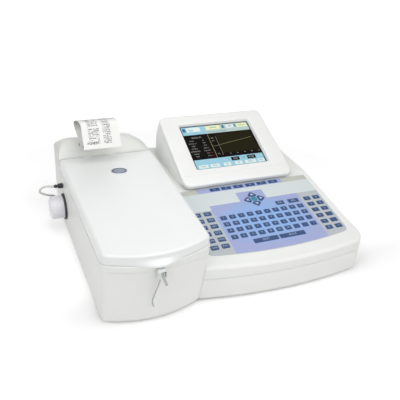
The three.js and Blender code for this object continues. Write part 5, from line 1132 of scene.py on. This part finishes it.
@dataclass
class Sipper:
    """The sipper's hanging tube; its holder and paddle stay as solids."""

    at: tuple[float, float, float] = (61.4, -14.9645, 71.86)
    drop: float = 43.5
    sway: float = 8.0
    radius: float = 0.9

    def build(self) -> None:
        """Carries a thin round section along a slightly bowed line, given as shares of sway and drop and
        as steps to the rear."""
        line = [
            (0, 0, 0), (0, 0, 0.08), (0, 0, 0.16), (0.35, 0, 0.35),
            (0.85, 0.8, 0.65), (1, 1.6, 0.85), (0.8, 1.6, 1),
        ]
        points = np.array(self.at) + np.array(line) * [-self.sway, 1, -self.drop]
        tube = as_object("sipper_hose", hose(smooth_path(points, 10), self.radius, 16))
        deliver(tube, "housing", FINE_TUBING, ["sipper_tube"], angle=80)


class Key(NamedTuple):
    """One key: its centre and size in the keypad's plane, and its mark."""

    u: float
    v: float
    width: float
    height: float
    mark: str


@dataclass
class Console:
    """The console: base tray, sloped top and the membrane keypad."""

    tower: Tower
    bulge: float = 11.5
    radius: float = 20.0
    back_radius: float = 8.0
    base_height: float = 30.0
    wall: float = 3.0
    edge: float = 4.0
    tower_gap: float = 0.25
    key_origin: tuple[float, float] = (187.3, 89.7)
    pitch: tuple[float, float] = (13.414, 12.466)
    side_pitch: float = 15.24
    key_height: float = 8.0
    key_foot: float = 0.25
    key_rise: float = 0.65
    sheet: tuple[float, float, float, float] = (-47.0, 164.0, -61.0, 66.0)
    sheet_sag: float = 9.0
    cable_hole: tuple[float, ...] = (206.6, 275.8, 208.7, 239.0, 70.0, 84.0)
    rear_hole: tuple[float, ...] = (176.0, 330.0, 301.0, 314.0, 34.0, 74.0)
    cursor: tuple[float, float] = (60.2, 28.0)

    def outline(self, inset: float = 0.0) -> Array:
        """The console in plan: bowed in front, its left side along the tower's right wall."""
        left = lambda y: self.tower.right_at(y) + 0.6
        return bowed_outline(
            (left(self.bulge + inset) + inset, left(CONSOLE_BACK - inset) + inset),
            (CONSOLE_RIGHT - inset, CONSOLE_RIGHT - inset),
            self.bulge + inset, CONSOLE_BACK - inset, self.bulge,
            (0.8, max(self.radius - inset, LEAST), max(self.back_radius - inset, LEAST), 0.8),
            reach=self.tower.radius_front,
        )

    def height(self, plan: Array) -> Array:
        """The top: a plane rising to the back, then a level deck, the crease between them rounded."""
        return smooth_least(SLOPE_FOOT + plan[:, 1] * math.tan(SLOPE), DECK_TOP, 1.2)

    def base(self) -> bpy.types.Object:
        """The tray: the plan outline with a rounded foot, open on top, its floor vented."""
        rim = self.base_height
        walls = [(0, 16.0), (0, rim - 0.8), (0.9, rim - 0.4), (0.9, rim)]
        walls += [(self.wall, rim), (self.wall, self.wall)]
        rings = foot_rings(self.outline) + [level(self.outline(inset), z) for inset, z in walls]
        obj = as_object("console_tray", skin(np.stack(rings)))
        vents = [block(x, x + 3, 190, 280, *THROUGH) for x in 248 + 97 * (np.arange(8) + 0.5) / 8]
        return combine(obj, Cut.TAKE, self.tower.hull(self.tower_gap), *vents)

    def top(self) -> bpy.types.Object:
        """The moulded top with its keypad recess, cable opening and rear opening."""
        form = hollow_cap(self.outline, self.height, self.base_height + SEAM, self.edge, self.wall)
        recess = self.on_plane(prism(self.sheet_outline(0), -0.9, 10))
        tools = (self.tower.hull(self.tower_gap), recess, block(*self.cable_hole), block(*self.rear_hole))
        return combine(as_object("console_cap", form), Cut.TAKE, *tools)

    def sheet_outline(self, inset: float) -> Array:
        """The membrane's outline in its plane: a rectangle whose front edge sags like the console's."""
        u0, u1, v0, v1 = self.sheet
        return bowed_outline(
            (u0 + inset, u0 + inset), (u1 - inset, u1 - inset), v0 + inset, v1 - inset, self.sheet_sag,
            (9 - inset, 9 - inset, 3.0, 3.0),
        )

    def on_plane(self, surface: Surface) -> Surface:
        """A surface drawn in the keypad's plane, moved to where that plane lies."""
        x, y = self.key_origin
        return surface.turned_x(SLOPE, (x, y, SLOPE_FOOT + y * math.tan(SLOPE)))

    def keys(self) -> list[Key]:
        """All square keys: the main block, a block at each side, and the odd ones."""
        pu, pv = self.pitch
        tall = self.key_height
        rows = ["1234567890", "QWERTYUIOP", "ASDFGHJKL.", "ZXCVBNM,-/"]
        keys = [
            Key(c * pu, -r * pv, 9.6, tall, mark) for r, row in enumerate(rows) for c, mark in enumerate(row)
        ]
        sides = {
            -33.8: "SEL QC CAL RES TST SET BLK STD RUN MOD UNI FAC".split(),
            139.03: "7 8 4 5 1 2 0 . + - C =".split(),
        }
        for u, marks in sides.items():
            for i, mark in enumerate(marks):
                keys.append(Key(u + i % 2 * self.side_pitch, (1 - i // 2) * pv, 11.0, tall, mark))
        keys += [Key(7 * pu, pv, 13.4, tall, "ESC"), Key(115.7, pv, 17.4, tall, "DEL")]
        keys += [Key(40.0, -50.7, 36.8, tall, "SHIFT"), Key(80.0, -50.7, 39.2, tall, "SPACE")]
        functions = (11.5, 29.5, 48.8, 68.1, 87.0, 106.1)
        return keys + [Key(u, 59.2, 15.4, 6.4, f"F{i + 1}") for i, u in enumerate(functions)]

    def key_form(self, key: Key) -> Surface:
        """One embossed key: a rounded rectangle that swells to a flat top by a quarter-round shoulder."""
        across, deep = key.width / 2, key.height / 2
        return skin(np.stack([
            level(round_rectangle(
                key.u - across + i, key.u + across - i, key.v - deep + i, key.v + deep - i, 1.2 - i * 0.6, 4,
            ), self.key_foot + r) for i, r in quarter(self.key_rise, 4)
        ]))

    def turned(self, corners: Sequence[Point], angle: float) -> Array:
        """Corners of a cursor key turned about its middle key, a little flattened."""
        c, s = math.cos(angle), math.sin(angle)
        return np.array(corners) @ np.array([[c, s], [-s, c]]) * [1.0, 0.92] + self.cursor

    def arrow_form(self, angle: float) -> Surface:
        """One cursor key: a rounded wedge that points away from the round middle key."""
        wedge = [[5.6, -4.6], [9.0, -7.0], [15.8, -1.6], [16.4, 0], [15.8, 1.6], [9.0, 7.0], [5.6, 4.6]]
        plan = self.turned(wedge, angle)
        middle = plan.mean(0)
        return skin(np.stack([
            level(middle + (plan - middle) * (1 - i / 7), self.key_foot + r)
            for i, r in quarter(self.key_rise, 4)
        ]))

    def field_piece(self, name: str, boxes: Sequence[tuple[float, ...]], lift: float) -> bpy.types.Object:
        """Printed fields: films of ink a few hundredths thick, cut off where the membrane ends.

        Args:
            name: the object's name.
            boxes: left, right, lower and upper edge of each field in the keypad's plane.
            lift: how far the films stand above the membrane.
        """
        forms = [self.on_plane(prism(round_rectangle(*box, 0.3, 3), 0.3, 0.4 + lift)) for box in boxes]
        obj = as_object(name, forms[0])
        if forms[1:]:
            combine(obj, Cut.JOIN, *forms[1:])
        return combine(obj, Cut.KEEP, self.on_plane(prism(self.sheet_outline(0.6), -0.5, 5)))

    def mark_form(self, key: Key) -> Surface:
        """A key's mark: flat lettering a hair above it."""
        letters = len(key.mark)
        size = min(5.2, key.height * 0.55)
        if letters > 1:
            size = min(4.2, key.height * 0.62, key.width * 1.35 / letters)
        return lettering(key.mark, size, 0.06).moved((key.u, key.v, 0.9))

    def build_keypad(self) -> None:
        """Builds and dresses the membrane, its printed fields, keys and marks."""
        rings = [level(self.sheet_outline(inset), z) for inset, z in ((0.35, -0.6), (0.35, 0.3), (0.47, 0.4))]
        sheet = as_object("keypad_membrane", self.on_plane(skin(np.stack(rings))))
        deliver(sheet, "housing", FILM_PALE, ["keypad_overlay"])
        for name, finish, lift, boxes in (
            ("keypad_field_grey", FILM_GREY, 0.02, [(-50, -10, -80, 18.5), (129, 170, -80, 27)]),
            ("keypad_field_lavender", FILM_LAVENDER, 0.03, [(-10, 129, -80, 27), (38, 80, 20, 46)]),
            ("keypad_strip_lavender", FILM_VIOLET, 0.03, [(-16, 120, 54.5, 63.8)]),
            ("keypad_strip_olive", FILM_OLIVE, 0.02, [(-46, -16, 54.5, 63.8), (120, 162.5, 54.5, 63.8)]),
        ):
            deliver(self.field_piece(name, boxes, lift), "housing", finish)
        keys = self.keys()
        turns = [math.pi / 2 * i for i in range(4)]
        raised = merged([self.key_form(key) for key in keys] + [self.arrow_form(turn) for turn in turns])
        deliver(as_object("keypad_keys", self.on_plane(raised)), "housing", FILM_NAVY)
        middle = lathe([(4.9, 0.25), (4.8, 0.7), (4.5, 0.88), (AXIS, 0.95)], (*self.cursor, 0), "z", 40)
        deliver(as_object("keypad_middle_key", self.on_plane(middle)), "housing", FILM_TEAL)
        head = [[8.6, -3.0], [13.4, 0], [8.6, 3.0]]
        marks = [self.mark_form(key) for key in keys]
        marks += [prism(self.turned(head, turn), 0.87, 0.96) for turn in turns]
        printed = as_object("keypad_marks", self.on_plane(merged(marks)), merge=False)
        deliver(printed, "housing", INK)

    def build(self) -> None:
        """Builds and dresses the console's pieces."""
        deliver(self.base(), "housing", HOUSING, ["console_base"])
        deliver(self.top(), "housing", HOUSING, ["console_top"])
        self.build_keypad()


def lettering(text: str, size: float, depth: float) -> Surface:
    """Plain lettering of a size in millimetres, centred on the origin, as thin closed forms."""
    curve = bpy.data.curves.new("letters", "FONT")
    curve.body = text
    curve.size = size
    curve.align_x, curve.align_y = "CENTER", "CENTER"
    curve.extrude = depth / 2
    curve.resolution_u = 2
    holder = linked("letters", curve)
    bpy.context.view_layer.update()
    mesh = bpy.data.meshes.new_from_object(holder.evaluated_get(bpy.context.evaluated_depsgraph_get()))
    points = np.zeros(len(mesh.vertices) * 3)
    mesh.vertices.foreach_get("co", points)
    faces = [tuple(p.vertices) for p in mesh.polygons]
    bpy.data.objects.remove(holder)
    bpy.data.meshes.remove(mesh)
    bpy.data.curves.remove(curve)
    return Surface(points.reshape(-1, 3), faces)


@dataclass
class Display:
    """The tilted display: bezel, lit picture and the hood behind."""

    tilt: float = math.radians(24.5)
    at: tuple[float, float, float] = (183.6, 178.5, 93.65)
    screen: tuple[float, float] = (115.2, 86.4)
    side: float = 29.5
    below: float = 29.8
    above: float = 21.2
    proud: float = 4.0
    depth: float = 2.0
    corner: float = 10.5
    edge: float = 2.5
    crease: float = 11.5
    chin: float = 10.0
    hood_back: float = 279.5
    wall: float = 2.5

    def on_plane(self, surface: Surface) -> Surface:
        """A surface drawn in the display's plane, moved to where that plane lies."""
        return surface.turned_x(self.tilt, self.at)

    def outline(self, inset: float, chin: float = 0.0) -> Array:
        """The bezel's outline in its plane."""
        return round_rectangle(
            -self.side + inset, self.screen[0] + self.side - inset, -self.below + inset + chin,
            self.screen[1] + self.above - inset, self.corner - inset, 12,
        )

    def window(self, grow: float) -> Array:
        """The window's outline, grown by a reveal."""
        return round_rectangle(-grow, self.screen[0] + grow, -grow, self.screen[1] + grow, 1.5 + grow / 2, 12)

    def bezel(self) -> bpy.types.Object:
        """The bezel as closed rings: up its outside, round its edge, in over its face, down the sloped reveal
        and back behind; a fine line is cut across its chin."""
        rings = [level(self.outline(0), -self.depth)]
        rings += [level(self.outline(i), self.proud - self.edge + r) for i, r in quarter(self.edge, 8)]
        rings += [level(self.window(grow), z) for grow, z in (
            (3.2, self.proud), (2.2, self.proud - 0.25), (0.5, 0.5), (0.4, -0.2), (6.3, -0.3),
            (6.3, -self.depth),
        )]
        obj = as_object("display_frame", self.on_plane(skin(np.stack(rings), caps=False, closed=True)))
        offsets = np.array([[-0.5, 1], [-0.12, -0.35], [0.12, -0.35], [0.5, 1]])
        ends = (-self.side - 5, self.screen[0] + self.side + 5)
        line = prism(offsets + [-self.crease, self.proud], *ends, "x")
        return combine(obj, Cut.TAKE, self.on_plane(line))

    def hood(self) -> bpy.types.Object:
        """The wedge behind the bezel: its outline carried back, cut level behind and along the console's top,
        hollow, with a row of vents behind."""
        reach = self.screen[1] + self.above + self.below
        slope_end = (DECK_TOP - SLOPE_FOOT) / math.tan(SLOPE)
        ends = (self.at[0] - self.side - 5, self.at[0] + self.screen[0] + self.side + 5)

        def room(name: str, inset: float, start: float, end: float, low: float) -> bpy.types.Object:
            """The outline carried from start to end, kept above the console's top and before the back."""
            back = self.hood_back - inset
            side = [
                [0, SLOPE_FOOT + low], [slope_end, DECK_TOP + low], [back, DECK_TOP + low],
                [back, DECK_TOP + reach], [0, DECK_TOP + reach],
            ]
            obj = as_object(name, self.on_plane(prism(self.outline(inset, self.chin), start, end)))
            return combine(obj, Cut.KEEP, prism(np.array(side), *ends, "x"))

        outer = room("display_shell", 0, -reach, -self.depth - 0.3, 0.3)
        inner = room("hood_room", self.wall, -reach - 5, -self.depth + 5, -5)
        combine(outer, Cut.TAKE, inner)
        x = self.at[0] + self.screen[0] / 2 + (np.arange(9) - 4) * 7.5
        return combine(outer, Cut.TAKE, *[block(v - 1.25, v + 1.25, 272, 285, 92.2, 112.9) for v in x])

    def picture(self) -> dict[str, tuple[Finish, list[Surface]]]:
        """What the panel shows: thin films of colour in steps of a few hundredths over the glass."""
        wide, tall = self.screen
        # The bands stop 1.5 short of the top and right edges but 0.9 short of the left and bottom, so a wider
        # strip of black ground shows there: painted shade of the window's reveal
        top, foot, reveal = 68.5, 18.7, 1.5
        right, high = wide - reveal, tall - reveal

        def films(lift: float, *boxes: tuple[float, float, float, float]) -> list[Surface]:
            """Films by their left, right, lower and upper edges."""
            return [block(*box, 0.12, 0.14 + lift) for box in boxes]

        def words(size: float, *places: tuple[str, float, float]) -> list[Surface]:
            """Words of one size, each centred on its place."""
            return [lettering(text, size, 0.03).moved((u, v, 0.27)) for text, u, v in places]

        curve_u = np.linspace(40, 109.7, 60)
        curve_v = 42.4 + 11.0 * np.clip((curve_u - 47) / 62.7, 0, 1) ** 0.9
        curve = hose(np.column_stack([curve_u, curve_v, np.full(60, 0.22)]), 0.24, 6)
        axes = films(0.08, (39.2, 39.8, foot, top)) + films(0.06, (50.6, 51.0, 26, 61))
        names = ["RATE", "WAVE nm", "TEMP", "SAMPLE", "STANDARD", "DELAY", "TIME"]
        counts = ["A", "505", "37.0", "500 uL", "5.20 mM", "30 s", "60 s"]
        table = [(name, 9.5, 56.0 - 5.2 * i) for i, name in enumerate(names)]
        table += [(count, 28.5, 56.0 - 5.2 * i) for i, count in enumerate(counts)]
        ticks = [(str(10 * i), 50.5 + 12.1 * i, 24.3) for i in range(6)]
        scale = [("0.8", 44.5, 58.6), ("0.4", 44.5, 53.0), ("0.0", 44.5, 26.5)]
        spans = ((4.5, 19.5), (23.0, 37.5), (44.5, 56.0), (63.0, 75.0), (79.5, 98.0), (101.5, 112.0))
        buttons = [(9.0, 31.5, 74.5, 83.6), (76.0, 88.5, 76.0, 83.6), *[(*span, 2.2, 8.0) for span in spans]]
        foot_words = (
            ("START", 12.0, 5.1), ("STOP", 30.2, 5.1), ("OK", 50.2, 5.1), ("SET", 69.0, 5.1),
            ("PRINT", 88.7, 5.1), ("END", 106.7, 5.1), ("ABS", 80.2, 13.8),
        )
        return {
            "lcd_ground": (LCD_BLACK, films(0, (0.4, wide - 0.4, 0.4, tall - 0.4))),
            "lcd_bands": (LCD_CYAN, films(0.03, (0.9, 39.5, top, high), (0.9, right, 0.9, foot))),
            "lcd_header": (LCD_PALE, films(0.03, (39.5, right, top, high))),
            "lcd_graph": (LCD_OLIVE, films(0.02, (51.0, 112.5, 26.8, 66.0))),
            "lcd_buttons": (LCD_WHITE, films(0.06, *buttons)),
            "lcd_selected": (LCD_YELLOW, films(0.06, (41.5, 65.0, 76.0, 83.6), (94.5, 111.5, 76.0, 83.6))),
            "lcd_icons": (LCD_BLUE, [
                *films(0.06, (2.2, 7.4, 75.2, 82.6), (68.3, 72.6, 77.0, 82.8), (90.2, 92.6, 77.4, 82.8)),
                *words(4.0, ("TEST", 15.5, 77.2)), *words(3.6, ("SAMPLE", 53.2, 79.8), ("ABS", 82.2, 79.8)),
                *words(3.4, ("RESULT", 103.0, 79.8)), *words(2.8, ("CURVE OF ABSORBANCE", 57.5, 71.6)),
                *words(3.2, *foot_words), *words(3.6, ("C", 55.5, 13.8)),
            ]),
            "lcd_values": (LCD_BLACK, films(0.08, (59.8, 73.4, 10.2, 17.0), (86.5, 100.6, 10.2, 17.0))),
            "lcd_lines": (LCD_CURVE, [curve, *axes]),
            "lcd_text": (LCD_GREY, [
                *words(4.2, ("RESULTS", 19.8, 62.2)), *words(2.9, *table),
                *words(3.0, *ticks), *words(3.2, *scale),
            ]),
            "lcd_note": (LCD_RED, words(2.9, ("LOW", 33.0, 30.0), ("WAIT", 33.0, 24.0))),
            "lcd_figures": (LCD_BAND_GREY, words(4.0, ("37.0", 66.6, 13.6), ("0.532", 93.5, 13.6))),
        }

    def build(self) -> None:
        """Builds and dresses the display's pieces."""
        deliver(self.bezel(), "housing", BEZEL, ["display_bezel"])
        deliver(self.hood(), "housing", HOOD_WITH_PAINTED_LIGHT, ["display_hood"])
        for name, (finish, forms) in self.picture().items():
            piece = as_object(name, self.on_plane(merged(forms)), merge=False)
            deliver(piece, "housing", finish)


@dataclass
class Feet:
    """The five rubber feet, each one turned profile: a domed pad with a stem."""

    places: tuple[tuple[float, float], ...] = ((18, 29), (18, 291), (349.5, 29), (349.5, 291), (114, 29))
    profile: tuple[tuple[float, float], ...] = (
        (AXIS, 0), (6.0, 0), (7.2, 0.25), (7.8, 0.8), (8.0, 1.6),
        (8.0, 2.7), (3.0, 2.7), (3.0, 5.0), (AXIS, 5.0),
    )

    def build(self) -> None:
        """Builds and dresses the feet."""
        for index, (x, y) in enumerate(self.places):
            foot = as_object(f"foot_pad_{index + 1}", lathe(self.profile, (x, y, -3), "z", 48))
            deliver(foot, "housing", RUBBER, [f"foot_{index + 1}"])


SOLID_FINISHES: dict[Finish, str] = {
    DECK: "inner_deck roll_cradle paper_spindle pump_rotor sipper_holder",
    STEEL: "lid_hinge_pin_left lid_hinge_pin_right pump_roller_1 pump_roller_2 pump_roller_3 "
           "sipper_paddle_pin fan_guard",
    MILLED: "optics_base filter_motor flow_cell_block lamp_housing print_head pump_motor",
    NYLON: "filter_wheel detector_housing lens_barrel mains_inlet power_switch_frame power_rocker fan_frame "
           "fan_rotor",
    QUARTZ: "flow_cell halogen_lamp",
    PAPER: "paper_roll",
    RUBBER: "platen_roller",
    ACETAL: "sipper_paddle",
    PANEL: "screen_panel",
    SHEET: "rear_panel serial_socket_left serial_socket_right power_supply",
    BOARD: "main_board",
}


def dress_solids() -> None:
    """Gives every solid that stays its finish."""
    for finish, names in SOLID_FINISHES.items():
        for name in names.split():
            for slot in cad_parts[name].material_slots:
                slot.link = "OBJECT"
                slot.material = finish.material()
            LOG.info("%s: %s", name, finish.name)


class Lamp(NamedTuple):
    """A square soft lamp: places in metres and power in watts. An unmirrored one leaves no sheen, as a
    bounced fill does."""

    name: str
    at: tuple[float, float, float]
    target: tuple[float, float, float]
    size: float
    power: float
    mirrored: bool = True


@dataclass
class Studio:
    """Camera, lamps and floor; the camera's place is in the drawing's millimetres."""

    focal_px: float = 548.49
    picture_px: float = 400.0
    yaw: float = 0.42429
    pitch: float = 0.50432
    roll: float = 0.06647
    eye: tuple[float, float, float] = (-105.381, -477.117, 440.653)
    lamps: tuple[Lamp, ...] = (
        Lamp("right", (1.2, -0.8, 1.3), (0, 0, 0.05), 1.2, 8.4),
        Lamp("front", (0.2, -1.6, 1.0), (0, 0, 0.05), 1.2, 8.4),
        Lamp("left", (-1.4, -0.5, 1.0), (0, 0, 0.05), 1.2, 10.0),
        Lamp("over", (-0.06, -0.13, 0.6), (-0.06, -0.12, 0.05), 0.5, 1.5),
        Lamp("back", (0.3, 1.6, 0.5), (0, 0, 0.05), 1.0, 4.5, mirrored=False),
    )
    floor_radius: float = 6.0

    def camera(self) -> None:
        """The camera: forward is (sin yaw cos pitch, cos yaw cos pitch, -sin pitch), then rolled about it."""
        ahead = math.cos(self.pitch)
        forward = Vector((math.sin(self.yaw) * ahead, math.cos(self.yaw) * ahead, -math.sin(self.pitch)))
        right = Vector((math.cos(self.yaw), -math.sin(self.yaw), 0))
        up = right.cross(forward)
        across = right * math.cos(self.roll) + up * math.sin(self.roll)
        upward = up * math.cos(self.roll) - right * math.sin(self.roll)
        data = bpy.data.cameras.new("camera")
        data.sensor_width = 36.0
        data.lens = self.focal_px * data.sensor_width / self.picture_px
        data.clip_start, data.clip_end = 0.01, 50
        turn = Matrix((across, upward, -forward)).transposed().to_4x4()
        camera = linked("camera", data)
        camera.matrix_world = Matrix.Translation(Vector(place(np.array(self.eye)))) @ turn
        bpy.context.scene.camera = camera

    def light(self) -> None:
        """Sets up the lamps."""
        for lamp in self.lamps:
            data = bpy.data.lights.new(lamp.name, "AREA")
            data.energy = lamp.power
            data.size = lamp.size
            light = linked(lamp.name, data)
            light.location = lamp.at
            light.visible_glossy = lamp.mirrored
            toward = Vector(lamp.target) - Vector(lamp.at)
            light.rotation_euler = toward.to_track_quat("-Z", "Y").to_euler()

    def floor(self) -> None:
        """A pale paper floor that keeps the shadow. What the camera and reflections see of it glows nearly
        white, least just in front of the object and more behind it and farther out."""
        outline = arc((0, 0), self.floor_radius, 0, 360, 96)[:-1]
        rings = np.stack([level(outline * share, 0.0) for share in (0.001, 0.2, 0.5, 1.0)])
        surface = skin(rings, caps=False)
        mesh = bpy.data.meshes.new("floor")
        mesh.from_pydata(surface.points.tolist(), [], [face[::-1] for face in surface.faces])
        floor = linked("floor", mesh)
        floor.location = (0, 0, -0.0002)
        made = bpy.data.materials.new("floor_paper")
        net = Net(made)
        where = net.where()
        cloud = net.add("TexNoise", {"Vector": where, "Scale": 3.0}).outputs["Fac"]
        matt = net.add("BsdfDiffuse", {"Color": net.blend(linear("#f4f4f4"), linear("#f7f7f7"), cloud)})
        far = net.spread(net.length(where), 0.1, 0.9, 0.2, 0.8, "SMOOTHSTEP")
        depth = net.add("SeparateXYZ", {"Vector": where}).outputs["Y"]
        behind = net.spread(depth, 0.1, 0.34, -0.13, -0.05, "SMOOTHSTEP")
        strength = net.maths("MULTIPLY", net.seen(), net.maths("MAXIMUM", far, behind))
        glow = net.add("Emission", {"Strength": strength})
        both = net.add("AddShader", {0: matt.outputs[0], 1: glow.outputs[0]})
        net.add("OutputMaterial", {"Surface": both.outputs[0]})
        mesh.materials.append(made)

    def world(self) -> None:
        """Even pale light all round, white where the camera or a reflection sees it."""
        world = bpy.data.worlds.new("room")
        bpy.context.scene.world = world
        net = Net(world)
        sky = net.add("Background", {"Color": (1, 1, 1, 1), "Strength": net.spread(net.seen(), 0.2, 1.0)})
        net.add("OutputWorld", {"Surface": sky.outputs[0]})

    def build(self) -> None:
        """Sets camera, lamps, floor, room and view transform."""
        self.camera()
        self.light()
        self.floor()
        self.world()
        bpy.context.scene.view_settings.view_transform = "Standard"


def main() -> None:
    """Builds the studio and every sub-assembly."""
    Studio().build()
    tower = Tower()
    for assembly in (tower, Printer(tower), Pump(), Sipper(), Console(tower), Display(), Feet()):
        LOG.info("building %s", type(assembly).__name__)
        assembly.build()
    dress_solids()


if __name__ == "__main__":
    logging.basicConfig(level=logging.INFO, format="%(name)s: %(message)s")
    main()
